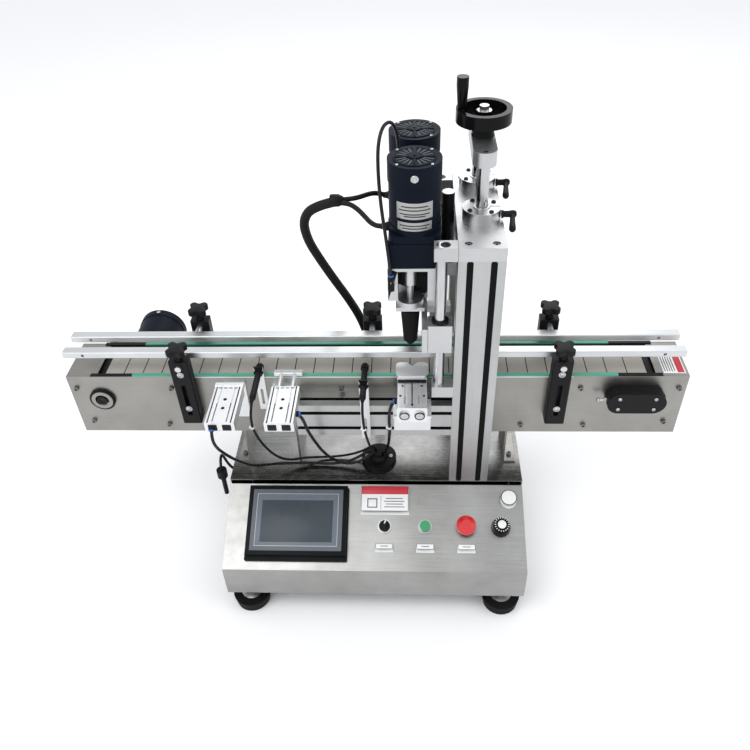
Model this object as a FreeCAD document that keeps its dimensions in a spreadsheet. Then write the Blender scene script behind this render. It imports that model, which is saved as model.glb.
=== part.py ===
import FreeCAD, Part
import math
import os

import Sketcher
from FreeCAD import Placement, Rotation, Vector

# Desktop capping machine, in millimetres, +Z up, with its front towards -Y.
# Origin: on the floor, under the middle of the machine.
# "Station" places are measured from the middle of the console's front top edge.

SIZES = dict(
    # console
    base_width=622, base_depth=500, base_height=168, sheet=2, lip=10, panel_run=168, panel_drop=77,
    cover_inset=40, cover_margin=22, gland_hole=50, vent_wide=4, vent_high=62, vent_step=12, vent_x=-198,
    vent_z=53,
    # feet
    foot_height=54, foot_puck=80, foot_rubber=26, foot_inset_x=44, foot_inset_y=26, foot_stud=12,
    foot_plate=44, foot_plate_thick=4, foot_nut=19,
    # touch screen, set down the sloped panel
    screen_width=212, screen_height=155, screen_x=-160, screen_down=90, bezel_thick=6, bezel_rim=14,
    glass_thick=3, screen_body_depth=34, screen_cut_gap=0.5,
    # operator controls on the sloped panel
    control_down=93, control_hole=22, selector_x=22, start_x=106, stop_x=190, dial_x=262,
    ring_outer=29, ring_height=3, control_gap=0.4, selector_cap=23, selector_height=9, selector_grip=7,
    start_cap=22, start_height=5, start_travel=3, mushroom=40, mushroom_height=12, mushroom_neck=18,
    mushroom_lift=14, stop_travel=4, dial_cap=40, dial_height=15, stem=8, stem_depth=30,
    contact_block=30, contact_depth=24,
    # labels on the sloped panel
    tag_width=37, tag_height=13, tag_down=140, tag_thick=0.8, notice_width=102, notice_height=57,
    notice_x=22, notice_down=40, badge=34, badge_x=281, badge_down=36,
    # parts inside the console
    supply_length=200, supply_width=98, supply_height=40, valve_length=120, valve_width=60,
    valve_height=50, driver_length=110, driver_width=72, supply_x=-260, supply_y=60, valve_x=60,
    valve_y=130, driver_x=-20, driver_step=100,
    driver_y=-60, puck_taper=8, dial_taper=0.85, gland_taper=0.8, driver_height=90,
    # conveyor
    conveyor_length=1220, conveyor_front=42, conveyor_depth=108, plate=3, plate_bottom=105,
    plate_height=149, plate_screw=14, belt_width=82.6, belt_pitch=38.1, belt_gap=0.8, arc_slat=30.5,
    belt_thick=4.8, belt_drop=2.5,
    shaft_x=549, shaft_drop=58, drum_gap=0.4, drum_shaft=20, drum_side_gap=3,
    bearing_outer=52, bearing_thick=5, spacer=16, spacer_low=20, spacer_high=30, end_inset=14,
    end_inset_low=26,
    carrier_high=12, carrier_wide=10,
    strip_length=950, strip_width=8, strip_proud=3, strip_tip=85,
    end_cover_length=62, end_cover_thick=2, end_cover_gap=0.5,
    tension_length=112, tension_height=48, tension_depth=30, tension_x=512, tension_z=208,
    chain_cover_height=96, chain_cover_depth=30, motor_x=-491, motor_z=182, motor_outer=100,
    motor_length=84, motor_gearbox=96, gearbox_length=36,
    # conveyor supports
    support_near=162, support_far=277, support_thick=4, support_depth=84, support_foot=24, foot_screw_in=20,
    # rails and their brackets
    rail_length=1206, rail_wide=20, rail_high=14, rail_z=289, front_rail_y=56, rear_rail_y=107,
    rod=12, rod_gap=0.05, rail_bracket_wide=38, rail_bracket_deep=24, bracket_bottom=150, bracket_top=308,
    front_bracket_x=367, front_bracket_right=362, rear_bracket_x=354, rod_z=296, rod_tail=6,
    slot_wide=9, slot_bottom=172, knob_play=0.4, rail_tip=40,
    knob=44, knob_height=14, knob_hub=20, knob_lobe=13, knob_neck=16, knob_stem=8,

    # station profile, uprights and top plate
    profile_wide=80, profile_deep=40, groove=8.2, groove_lip=4.5, groove_wide=16, groove_deep=11,
    upright_x=157, upright_height=538, portal_depth=278, top_thick=25, portal_inset=17, station_left=-150,
    station_bottom=133,
    shaft_block=40, shaft_block_deep=28, low_block_z=237, low_block_high=25, guide_shaft=20,
    shaft_place=130, shaft_inset=14,
    # stops and clamp in front of the conveyor
    stop_wide=55, stop_long=100, stop_high=22, stop_top=268, stop_rear=3, left_stop=-270,
    right_stop=-161, stop_rod=8, stop_rod_space=26, stop_bar_deep=12, stop_bar_high=8, stop_stroke=38,
    recess_wide=16, recess_out=1.5, stop_groove=6, bar_round=1.5, rod_short=15, jaw_round=10, bore_end=12,
     recess_high=12, recess_deep=6,
    shelf=4, rib_share=0.6, shelf_wide=40, stop_shelf_in=12, clamp_shelf=50, shelf_long=78,
    shelf_bottom=150,
    clamp_round=3, stop_round=2, jaw_drop=4, clamp_x=80, clamp_wide=56, clamp_long=82, clamp_high=36, clamp_rear=-18, jaw_wide=63, jaw_deep=42,
    jaw_high=11, jaw_notch=24, jaw_notch_deep=12, clamp_stroke=12, clamp_bar=5,
    clamp_plate_wide=72, clamp_plate_bottom=151, bore_cap=18,
    # sensors
    sensor=12, sensor_length=80, sensor_head=16, sensor_head_long=8, sensor_z=268,
    left_sensor=-219, right_sensor=-12, stand_wide=18, stand_thick=3, stand_slot=5, stand_slot_long=40,
    stand_slot_up=14, lock_nut=17, lock_nut_thick=4,
     stand_high=280,
    sensor_tail=-33, left_stand_bottom=170, right_stand_bottom=128,
    # height adjustment
    lift_x=200, lift_y=163, lift_space=120, lift_rod=20, flange=66, split=2, lug_room=8, flange_high=22,
    bridge_wide=40,
    bridge_z=662, bridge_high=26, cross_z=440, cross_high=26, cross_margin=6, screw=14, screw_bottom=480,
    screw_gap=0.1, wheel=94, wheel_z=711, wheel_high=22, wheel_rim=10, wheel_web=6, wheel_hub=26,
    wheel_nut=16, wheel_nut_high=8, wheel_collar=40, grip_out=37, grip_low=15, grip_high=20,
    grip_long=50, grip_taper=35,
    grip_pin=6, grip_gap=1.2, lever_hub=14, lever_bar=9, lever_tip=12, lever_reach=26,
    lever_arm=44, lever_aside=8,
    # lift cylinder
    cylinder_x=144, cylinder_y=131, cylinder=22, cylinder_bore=18, cylinder_top=600, cylinder_end=8,
    piston_gap=0.2, piston=10, piston_rod=8, lug_z=350, lug_high=15, lug_wide=20,
    # capping head
    block_x=108, block_wide=44, block_deep=32, block_z=347, block_high=60, seal=33, seal_high=4,
    bush_gap=0.05, carriage=10, carriage_high=53, carriage_top=425, table_high=18, table_x=40,
    table_wide=58,
    gripper_x=42, gripper_wide=70, gripper_y=101, gripper_deep=62, gripper_high=54,
    finger=10, finger_length=28, finger_space=40,
    spindle_motor=90, motor_step=3, motor_cap=36, motor_foot=10, gearbox_round=5, neck_step=3,
    neck_round=12,
    sink=13, sink_deep=7, front_motor_y=76, rear_motor_y=188, motor_centre=85, head_gearbox=90,
    gearbox_z=506, gearbox_high=47, motor_top=688, motor_neck=14,
    frame_wall=8, frame_x=38, frame_wide=87, frame_z=440, frame_deep=62, frame_plate=6, frame_open=52,
    spindle_x=77, front_spindle=58, rear_spindle=132, tongue_z=410, tongue=8, hub_flange=48,
    hub_high=12, spindle=12, spindle_gap=0.1, roller_top=36, roller_low=26, roller_z=335,
    roller_clear=3, tip=14, tip_high=8, coupling=30, coupling_high=30, coupling_z=462,
    arm_wide=34, arm_high=14, arm_z=406, fitting=12, hub_overlap=6, fitting_high=26, fitting_z=468,
    # screws
    screw_head=10, screw_head_high=5, screw_shank=5.8, screw_hole=6, screw_socket=5, screw_socket_deep=3,
    # gland and side socket
    gland=75, gland_x=7, gland_y=64, hose_x=12, hose_y=150, seat_rim=14, socket_y=-20, socket_z=186,
     gland_high=8, gland_dome=40, gland_dome_high=10, gland_nut=14, seat_high=2,
    socket_wide=30, socket_high=30, socket_thick=1.5, plug=22, plug_high=20, plug_tail=10,
    plug_tail_long=54,
)

# What a cord's end keeps from the fitting it meets, and the share of a run that a bend takes.
CORD_GAP = 0.8
CORNER_SHARE = 0.45

# How far a cutting tool starts before the face it enters, and limits for comparing directions and sizes.
THROUGH = 5
HEX_SIDES = 6
VENTS = 9
NEARLY_ONE = 0.999
TINY = 0.01

# Where the spacer bars sit along the plates, and the slats round each drum.
HIGH_SPACERS = (-402, -60, 408)
LOW_SPACERS = (-426, -310, 300, 426)
ARC_SLATS = 5

# Each free cord: its diameter and its route, in the machine's own frame.
CORDS = {
    "main_hose": (18, [(12, 150, 224), (10, 151, 262), (3, 150, 318), (-6, 147, 376), (-16, 141, 436),
                       (-29, 134, 492), (-52, 128, 546), (-78, 119, 600), (-100, 110, 650),
                       (-119, 100, 700), (-122, 86, 750), (-97, 73, 785), (-48, 64, 799)]),
    "rear_motor_lead": (9, [(-45.4, 68, 799), (-31, 68.3, 799.4), (-14, 72, 801), (2, 84, 801), (14, 98, 796),
                            (26, 105.8, 789), (39.6, 106, 787.6)]),
    "front_motor_lead": (9, [(-45.4, 59, 797), (-32, 58, 796.6), (-16, 48, 791), (-2, 30, 785), (10, 9, 783),
                             (24, -5.4, 785), (39.6, -6, 786)]),
    "head_air_tube": (6, [(44, -59, 716), (42, -59, 745), (37, -52, 790), (30, -38, 838), (26, -20, 886),
                          (26, -3, 928), (33, 14, 952), (45, 30, 956), (54, 42, 940), (58, 48, 912),
                          (59, 50, 876), (62, 50, 830), (60, 50, 780), (63, 50, 740), (63.5, 50, 719)]),
    "left_stop_tube": (6, [(-285, -185, 479), (-285, -196, 466), (-283, -196, 440), (-274, -178, 400),
                           (-262, -150, 352), (-248, -118, 305), (-230, -82, 268), (-205, -54, 243),
                           (-172, -42, 231), (-136, -38, 228), (-100, -40, 227), (-64, -39, 231),
                           (-38, -33, 240), (-20, -26, 249), (-9, -21, 249), (-4, -19.2, 240.8)]),
    "right_stop_tube": (6, [(-133.0, -150, 479), (-126, -152, 476), (-121, -150, 460), (-118, -140, 425),
                            (-112, -120, 380), (-104, -99, 332), (-92, -78, 288), (-74, -62, 256),
                            (-52, -53, 241), (-30, -46, 244), (-12, -39, 254), (-2, -32, 252), (1, -28, 240)]),
    "left_sensor_cable": (5, [(-219, -115, 490), (-219, -132, 488), (-221, -146, 470), (-222, -144, 435),
                              (-218, -128, 388), (-210, -108, 340), (-198, -84, 293), (-180, -56, 255),
                              (-154, -30, 236), (-120, -20, 227), (-88, -18, 227), (-56, -16, 231),
                              (-30, -14, 240), (-13, -12, 250), (-2, -11, 249), (1, -11, 240)]),
    "right_sensor_cable": (5, [(-12, -115, 490), (-12, -132, 488), (-12, -143, 470), (-11, -138, 432),
                               (-8, -120, 384), (-4, -97, 336), (1, -73, 294), (6, -50, 262),
                               (9, -35, 251), (9, -29, 240)]),
    "clamp_tube": (6, [(52, -112, 476), (44, -113, 474), (38, -117, 460), (36, -117, 438),
                       (36, -102, 392), (33, -80, 340), (28, -58, 294), (22, -38, 262), (17, -26, 250),
                       (16, -22, 240)]),
    "side_lead": (6, [(-312.5, -20, 186), (-321, -20, 189), (-328, -21, 202), (-332, -25, 222),
                      (-333, -32, 243), (-332, -43, 257), (-331, -56, 259), (-330, -66, 251),
                      (-330, -69, 238)]),
}

# The clamp levers' arms lie forward and a little down from their hubs.
LEVER_WAY = Vector(-4, -44, -8)

WAYS = {
    "x": Rotation(Vector(0, 1, 0), 90),
    "-x": Rotation(Vector(0, 1, 0), -90),
    "y": Rotation(Vector(1, 0, 0), -90),
    "-y": Rotation(Vector(1, 0, 0), 90),
    "z": Rotation(),
    "-z": Rotation(Vector(1, 0, 0), 180),
}

doc = FreeCAD.newDocument("CappingMachine")
nodes = {}


class Size:
    """A length that knows its value and the formula the document keeps for it."""

    def __init__(self, value, formula):
        self.value = float(value)
        self.formula = formula

    def __add__(self, other):
        other = as_size(other)
        return Size(self.value + other.value, f"({self.formula} + {other.formula})")

    def __sub__(self, other):
        other = as_size(other)
        return Size(self.value - other.value, f"({self.formula} - {other.formula})")

    def __mul__(self, other):
        other = as_size(other)
        return Size(self.value * other.value, f"({self.formula} * {other.formula})")

    def __truediv__(self, other):
        other = as_size(other)
        return Size(self.value / other.value, f"({self.formula} / {other.formula})")

    def __radd__(self, other):
        return as_size(other) + self

    def __rsub__(self, other):
        return as_size(other) - self

    def __rmul__(self, other):
        return as_size(other) * self

    def __neg__(self):
        return Size(-self.value, f"(0 - {self.formula})")

    def root(self):
        return Size(math.sqrt(self.value), f"sqrt({self.formula})")

    def slope_angle(self):
        return Size(math.degrees(math.atan(self.value)), f"atan({self.formula})")


def as_size(number):
    if isinstance(number, Size):
        return number
    return Size(number, repr(float(number)) if number >= 0 else f"(0 - {-float(number)!r})")


class Sheet:
    """The spreadsheet of driving dimensions; each attribute is a Size bound to its cell."""

    def __init__(self, sizes):
        table = doc.addObject("Spreadsheet::Sheet", "sizes")
        for row, (name, value) in enumerate(sizes.items(), start=1):
            table.set(f"A{row}", name)
            table.set(f"B{row}", str(value))
            table.setAlias(f"B{row}", name)
            setattr(self, name, Size(value, f"sizes.{name}"))
        table.recompute()


d = Sheet(SIZES)

FRONT_EDGE = d.panel_run - d.base_depth / 2
TOP = d.foot_height + d.base_height
PANEL_SLOPE = d.panel_drop / d.panel_run
CONVEYOR_MIDDLE = d.conveyor_front + d.conveyor_depth / 2
CONVEYOR_REAR = d.conveyor_front + d.conveyor_depth
BELT_TOP = d.plate_bottom + d.plate_height - d.belt_drop
SHAFT_Z = d.plate_bottom + d.plate_height - d.shaft_drop
DRUM = 2 * (BELT_TOP - d.belt_thick - d.drum_gap - SHAFT_Z)
TOP_PLATE_Z = d.upright_height
HALF_LENGTH = d.conveyor_length / 2


def station(x, y, z):
    """A place measured from the middle of the console's front top edge."""
    return (as_size(x), FRONT_EDGE + y, TOP + z)


def bind(piece, **formulas):
    for name, size in formulas.items():
        piece.setExpression(name, as_size(size).formula)
    return piece


def place(piece, at, turn=None):
    if turn is not None:
        piece.Placement = Placement(Vector(), turn)
    for axis, size in zip("xyz", at):
        piece.setExpression(f"Placement.Base.{axis}", as_size(size).formula)
    return piece


def turned(way):
    """A rotation from +Z: a named way, or any direction as a vector."""
    return WAYS[way] if isinstance(way, str) else Rotation(Vector(0, 0, 1), way)


def box(size, at):
    """A block by its three edges and its lowest corner."""
    piece = doc.addObject("Part::Box", "Block")
    bind(piece, Length=size[0], Width=size[1], Height=size[2])
    return place(piece, at)


def rod(diameter, length, at, way="z"):
    """A round bar from the middle of its first face."""
    piece = doc.addObject("Part::Cylinder", "Rod")
    bind(piece, Radius=as_size(diameter) / 2, Height=length)
    return place(piece, at, turned(way))


def cone(start, end, length, at, way="z"):
    piece = doc.addObject("Part::Cone", "Taper")
    bind(piece, Radius1=as_size(start) / 2, Radius2=as_size(end) / 2, Height=length)
    return place(piece, at, turned(way))


def ball(diameter, at):
    piece = doc.addObject("Part::Sphere", "Ball")
    bind(piece, Radius=as_size(diameter) / 2)
    return place(piece, at)


def ring(bar, across, at):
    """A flat ring of round bar, by its outside diameter."""
    piece = doc.addObject("Part::Torus", "Ring")
    bind(piece, Radius1=(as_size(across) - bar) / 2, Radius2=as_size(bar) / 2)
    return place(piece, at)


def hexagon(across, length, at, way="z"):
    piece = doc.addObject("Part::Prism", "Hexagon")
    piece.Polygon = HEX_SIDES
    bind(piece, Circumradius=as_size(across) / math.sqrt(3), Height=length)
    return place(piece, at, turned(way))


def group(*pieces):
    piece = doc.addObject("Part::Compound", "Group")
    piece.Links = list(pieces)
    return piece


def fuse(*pieces):
    piece = doc.addObject("Part::MultiFuse", "Fused")
    piece.Shapes = list(pieces)
    piece.Refine = True
    return piece


def cut(base, *tools):
    piece = doc.addObject("Part::Cut", "Cut")
    piece.Base = base
    piece.Tool = tools[0] if len(tools) == 1 else fuse(*tools)
    return piece


def eased(piece, radius, way):
    """The piece with its straight outer edges along one axis rounded."""
    piece.recompute(True)
    radius = as_size(radius).value
    along = Vector(*(float(axis == way) for axis in "xyz"))
    bounds = piece.Shape.BoundBox
    edges = []
    for number, edge in enumerate(piece.Shape.Edges, start=1):
        if edge.Curve.TypeId != "Part::GeomLine":
            continue
        run = edge.Vertexes[-1].Point - edge.Vertexes[0].Point
        middle = edge.CenterOfMass
        at_corner = all(
            axis == way or min(abs(getattr(middle, axis) - getattr(bounds, f"{axis.upper()}Min")),
                               abs(getattr(middle, axis) - getattr(bounds, f"{axis.upper()}Max"))) < TINY
            for axis in "xyz")
        if at_corner and abs(run.normalize().dot(along)) > NEARLY_ONE:
            edges.append((number, radius, radius))
    result = doc.addObject("Part::Fillet", "Eased")
    result.Base = piece
    result.Edges = edges
    return result


def profile(points, length, at, plane="YZ_Plane"):
    """A straight-sided section padded along the plane's normal."""
    body = doc.addObject("PartDesign::Body", "Section")
    sketch = body.newObject("Sketcher::SketchObject", "Outline")
    support = next(feature for feature in body.Origin.OriginFeatures if feature.Role == plane)
    sketch.AttachmentSupport = [(support, "")]
    sketch.MapMode = "FlatFace"
    points = [(as_size(first), as_size(second)) for first, second in points]
    corners = [Vector(first.value, second.value, 0) for first, second in points]
    for index, corner in enumerate(corners):
        sketch.addGeometry(Part.LineSegment(corner, corners[(index + 1) % len(corners)]), False)
    for index in range(len(corners)):
        following = (index + 1) % len(corners)
        sketch.addConstraint(Sketcher.Constraint("Coincident", index, 2, following, 1))
    for index, point in enumerate(points):
        for kind, size in zip(("DistanceX", "DistanceY"), point):
            number = sketch.addConstraint(Sketcher.Constraint(kind, -1, 1, index, 1, size.value))
            sketch.setExpression(f"Constraints[{number}]", size.formula)
    pad = body.newObject("PartDesign::Pad", "Pad")
    pad.Profile = sketch
    bind(pad, Length=length)
    return place(body, at)


def screw(at, way, length):
    """A socket-head screw: `at` is where its head meets the work, `way` points into the work."""
    back = {"x": "-x", "y": "-y", "z": "-z", "-x": "x", "-y": "y", "-z": "z"}[way]
    head = rod(d.screw_head, d.screw_head_high, at, back)
    shank = rod(d.screw_shank, length, at, way)
    lift = d.screw_head_high
    axis = "xyz".index(way[-1])
    top = list(at)
    top[axis] = at[axis] - lift if len(way) == 1 else at[axis] + lift
    socket = hexagon(d.screw_socket, d.screw_socket_deep, tuple(top), way)
    return cut(fuse(head, shank), socket)


def keep(name, piece):
    piece.Label = name
    nodes[name] = piece
    return piece


def on_panel(piece):
    """Carry a piece drawn flat (X across, -Y down the slope, Z outwards) onto the sloped panel."""
    rotation = Rotation(Vector(1, 0, 0), 1)
    place(piece, station(0, 0, -d.lip), rotation)
    piece.setExpression("Placement.Rotation.Angle", PANEL_SLOPE.slope_angle().formula)
    return piece


# ---------------------------------------------------------------- console

def console_section(wall, bottom):
    """The console's side outline, drawn in by a wall and ending at a bottom height."""
    run, drop = d.panel_run - wall, d.lip + PANEL_SLOPE * (d.panel_run - wall)
    slant = wall * (1 + PANEL_SLOPE * PANEL_SLOPE).root()
    return [
        (-wall, -wall if wall is not NOTHING else NOTHING),
        (-wall, -(d.lip + PANEL_SLOPE * wall + slant)),
        (-run, -(drop + slant)),
        (-run, bottom),
        (d.base_depth - d.panel_run - wall, bottom),
        (d.base_depth - d.panel_run - wall, -wall),
    ]


NOTHING = as_size(0)
CONTROLS = {"selector": d.selector_x, "start": d.start_x, "stop": d.stop_x, "dial": d.dial_x}


def screen_cutout():
    gap = d.screen_cut_gap
    width, height = d.screen_width - 2 * d.bezel_rim, d.screen_height - 2 * d.bezel_rim
    return box((width + 2 * gap, height + 2 * gap, d.screen_body_depth),
               (d.screen_x - width / 2 - gap, -d.screen_down - height / 2 - gap, -d.screen_body_depth / 2))


def console():
    outer = profile(console_section(NOTHING, -d.base_height), d.base_width,
                    station(-d.base_width / 2, 0, 0))
    inner = profile(console_section(d.sheet, -d.base_height - d.sheet), d.base_width - 2 * d.sheet,
                    station(-d.base_width / 2 + d.sheet, 0, 0))
    holes = [rod(d.control_hole, 4 * d.lip, (x, -d.control_down, -2 * d.lip)) for x in CONTROLS.values()]
    panel_holes = on_panel(group(screen_cutout(), *holes))
    gland_hole = rod(d.gland_hole, 4 * d.sheet, station(d.gland_x, d.gland_y, -2 * d.sheet))
    hose_hole = rod(CORDS["main_hose"][0] + 2, 4 * d.sheet, (d.hose_x, d.hose_y, TOP - 2 * d.sheet))
    rear = d.base_depth - d.panel_run
    opening = box((d.base_width - 2 * d.cover_inset, 4 * d.sheet, d.base_height - 2 * d.cover_inset),
                  station(-d.base_width / 2 + d.cover_inset, rear - 2 * d.sheet,
                          -d.base_height + d.cover_inset))
    return keep("base_cabinet", cut(outer, inner, panel_holes, gland_hole, hose_hole, opening))


def foot_places():
    x = d.base_width / 2 - d.foot_inset_x
    y = d.base_depth / 2 - d.foot_inset_y
    return [(sx * x, sy * y) for sx in (-1, 1) for sy in (-1, 1)]


def base_covers():
    """The floor tray that closes the console from below, and the screwed rear cover."""
    gap = d.control_gap
    wide = d.base_width - 2 * d.sheet - 2 * gap
    deep = d.base_depth - 2 * d.sheet - 2 * gap
    tray = box((wide, deep, d.sheet), (-wide / 2, -deep / 2, d.foot_height))
    holes = [rod(d.foot_stud + 1, 4 * d.sheet, (x, y, d.foot_height - d.sheet)) for x, y in foot_places()]
    margin = d.cover_margin
    cover_wide, cover_high = d.base_width - 2 * margin, d.base_height - 2 * margin
    rear = d.base_depth / 2
    cover = box((cover_wide, d.sheet, cover_high), (-cover_wide / 2, rear, d.foot_height + margin))
    slots = [box((d.vent_wide, 4 * d.sheet, d.vent_high),
                 (d.vent_x + index * d.vent_step, rear - d.sheet, d.foot_height + d.vent_z))
             for index in range(VENTS)]
    return keep("base_covers", group(cut(tray, *holes), cut(cover, *slots)))


def leveling_feet():
    """Rubber pucks on threaded studs with lock nuts."""
    pieces = []
    for x, y in foot_places():
        puck = cone(d.foot_puck - d.puck_taper, d.foot_puck, d.foot_rubber, (x, y, 0))
        plate = cone(d.foot_plate, d.foot_plate / 2, d.foot_plate_thick, (x, y, d.foot_rubber))
        stud_start = d.foot_rubber + d.foot_plate_thick
        nut_high = d.foot_stud - 2
        stud = rod(d.foot_stud, d.foot_height - stud_start + nut_high, (x, y, stud_start))
        nut = hexagon(d.foot_nut, nut_high, (x, y, d.foot_height - nut_high))
        pieces += [puck, fuse(plate, stud, nut)]
    return keep("leveling_feet", group(*pieces))


def touch_screen():
    """A bezel that stands on the panel, its rear housing and the glass set in its front."""
    width, height = d.screen_width, d.screen_height
    x, y = d.screen_x - width / 2, -d.screen_down - height / 2
    rim = d.bezel_rim
    bezel = eased(box((width, height, d.bezel_thick), (x, y, 0)), 3, "z")
    housing = box((width - 2 * rim, height - 2 * rim, d.screen_body_depth),
                  (x + rim, y + rim, -d.screen_body_depth))
    window = box((width - 2 * rim, height - 2 * rim, d.glass_thick),
                 (x + rim, y + rim, d.bezel_thick - d.glass_thick))
    glass = box((width - 2 * rim, height - 2 * rim, d.glass_thick - 1),
                (x + rim, y + rim, d.bezel_thick - d.glass_thick))
    return keep("touch_screen", on_panel(group(cut(fuse(bezel, housing), window), glass)))


def panel_fittings():
    """Bezel rings with their contact blocks, tag plates, a notice plate and a round badge."""
    pieces = []
    for x in CONTROLS.values():
        at = (x, -d.control_down, NOTHING)
        ring_piece = rod(d.ring_outer, d.ring_height, at)
        body = rod(d.control_hole - 2 * d.control_gap, d.stem_depth, (x, -d.control_down, -d.stem_depth))
        bore = rod(d.stem + 2 * d.control_gap, d.stem_depth + 2 * d.ring_height,
                   (x, -d.control_down, -d.stem_depth))
        block = box((d.contact_block, d.contact_block, d.contact_depth),
                    (x - d.contact_block / 2, -d.control_down - d.contact_block / 2,
                     -d.stem_depth - d.contact_depth))
        pieces.append(fuse(cut(fuse(ring_piece, body), bore), block))
    for x in (d.selector_x, d.start_x, d.stop_x):
        pieces.append(box((d.tag_width, d.tag_height, d.tag_thick),
                          (x - d.tag_width / 2, -d.tag_down - d.tag_height / 2, 0)))
    pieces.append(box((d.notice_width, d.notice_height, d.tag_thick),
                      (d.notice_x - d.notice_width / 2, -d.notice_down - d.notice_height / 2, 0)))
    pieces.append(rod(d.badge, d.tag_thick, (d.badge_x, -d.badge_down, 0)))
    return keep("panel_fittings", on_panel(group(*pieces)))


def control_stem(x, reach):
    """The stem of a control, from inside its ring to the given height over the panel."""
    sink = d.stem_depth - 2 * d.stop_travel
    return rod(d.stem, sink + reach, (x, -d.control_down, -sink))


def controls():
    seat = d.ring_height + d.control_gap
    x, y = d.selector_x, -d.control_down
    cap = rod(d.selector_cap, d.selector_height - d.selector_grip + 2, (x, y, seat))
    grip = box((d.selector_grip, d.selector_cap - 2, d.selector_grip),
               (x - d.selector_grip / 2, y - d.selector_cap / 2 + 1, seat + 2))
    keep("selector_knob", on_panel(fuse(control_stem(x, seat + 2), cap, grip)))

    x = d.start_x
    button = rod(d.start_cap, d.start_height, (x, y, seat + d.start_travel))
    keep("start_button", on_panel(fuse(control_stem(x, seat + d.start_travel + 1), button)))

    x = d.stop_x
    neck = rod(d.mushroom_neck, d.mushroom_lift - seat - d.stop_travel, (x, y, seat + d.stop_travel))
    head = fuse(rod(d.mushroom, d.mushroom_height / 2, (x, y, d.mushroom_lift)),
                cone(d.mushroom, d.mushroom / 2, d.mushroom_height / 2,
                     (x, y, d.mushroom_lift + d.mushroom_height / 2)))
    keep("stop_button", on_panel(fuse(control_stem(x, seat + d.stop_travel + 1), neck, head)))

    x = d.dial_x
    dial = cone(d.dial_cap, d.dial_cap * d.dial_taper, d.dial_height, (x, y, seat))
    keep("speed_dial", on_panel(fuse(control_stem(x, seat + 1), dial)))


def control_gear():
    """Power supply, valve block and speed controllers standing on the floor tray."""
    floor = d.foot_height + d.sheet
    supply = box((d.supply_length, d.supply_width, d.supply_height), (d.supply_x, d.supply_y, floor))
    valves = box((d.valve_length, d.valve_width, d.valve_height), (d.valve_x, d.valve_y, floor))
    drivers = [box((d.driver_width, d.driver_length, d.driver_height), (x, d.driver_y, floor))
               for x in (d.driver_x, d.driver_x + d.driver_step)]
    return keep("control_gear", group(supply, valves, *drivers))


def cord_fittings():
    """The cable gland on the console top, the hose's seat, and the side socket with the hanging plug."""
    flange = rod(d.gland, d.gland_high, station(d.gland_x, d.gland_y, 0))
    dome = cone(d.gland_dome, d.gland_dome * d.gland_taper, d.gland_dome_high,
                station(d.gland_x, d.gland_y, d.gland_high))
    nut = rod(d.gland_hole - 2, d.gland_nut, station(d.gland_x, d.gland_y, -d.gland_nut))
    seat = rod(CORDS["main_hose"][0] + d.seat_rim, d.seat_high, (d.hose_x, d.hose_y, TOP))
    side = -d.base_width / 2
    socket = box((d.socket_thick, d.socket_wide, d.socket_high),
                 (side - d.socket_thick, d.socket_y - d.socket_wide / 2, d.socket_z - d.socket_high / 2))
    x, y, z = CORDS["side_lead"][1][-1]
    plug = rod(d.plug, d.plug_high, (x, y, z), "-z")
    tail = rod(d.plug_tail, d.plug_tail_long, (x, y, z - d.plug_high), "-z")
    return keep("cord_fittings", group(fuse(flange, dome, nut), seat, socket, fuse(plug, tail)))


# ---------------------------------------------------------------- conveyor

def conveyor_frame():
    """Two side plates held apart by round spacers, with the drums' flange bearings outside."""
    inner = d.conveyor_depth - 2 * d.plate
    pieces = []
    for y in (d.conveyor_front, CONVEYOR_REAR - d.plate):
        plate = box((d.conveyor_length, d.plate, d.plate_height), station(-HALF_LENGTH, y, d.plate_bottom))
        holes = [rod(d.bearing_outer / 2, 3 * d.plate, station(x, y - d.plate, SHAFT_Z), "y")
                 for x in (-d.shaft_x, d.shaft_x)]
        for x, z in plate_screws() + end_screws():
            holes.append(rod(d.screw_hole, 3 * d.plate, station(x, y - d.plate, z), "y"))
        pieces.append(cut(plate, *holes))
    for x, z in plate_screws():
        at = station(x, d.conveyor_front + d.plate, z)
        bar = rod(d.spacer, inner, at, "y")
        bore = rod(d.screw_hole, inner, at, "y")
        pieces.append(cut(bar, bore))
    return keep("conveyor_frame", group(*pieces, *roller_bearings()))


def plate_screws():
    """Spacer places between the plates, along a high and a low row."""
    high = d.plate_bottom + d.plate_height - d.spacer_high
    low = d.plate_bottom + d.spacer_low
    return [(as_size(x), high) for x in HIGH_SPACERS] + [(as_size(x), low) for x in LOW_SPACERS]


def end_screws():
    """Two screws near each end of the front plate."""
    high = d.plate_bottom + d.plate_height - d.spacer_high
    low = d.plate_bottom + d.spacer_high
    return [(side * (HALF_LENGTH - inset), z) for side in (-1, 1)
            for inset, z in ((d.end_inset, high), (d.end_inset_low, low))]


def belt_carriers():
    """Two bars between the plates that carry the top run, resting on the high spacers."""
    thick = d.carrier_wide
    top = BELT_TOP - d.belt_thick
    length = 2 * (d.shaft_x - DRUM)
    carriers = []
    for y in (d.conveyor_front + d.plate, CONVEYOR_REAR - d.plate - thick):
        carriers.append(box((length, thick, d.carrier_high), station(-length / 2, y, top - d.carrier_high)))
    return carriers


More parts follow.
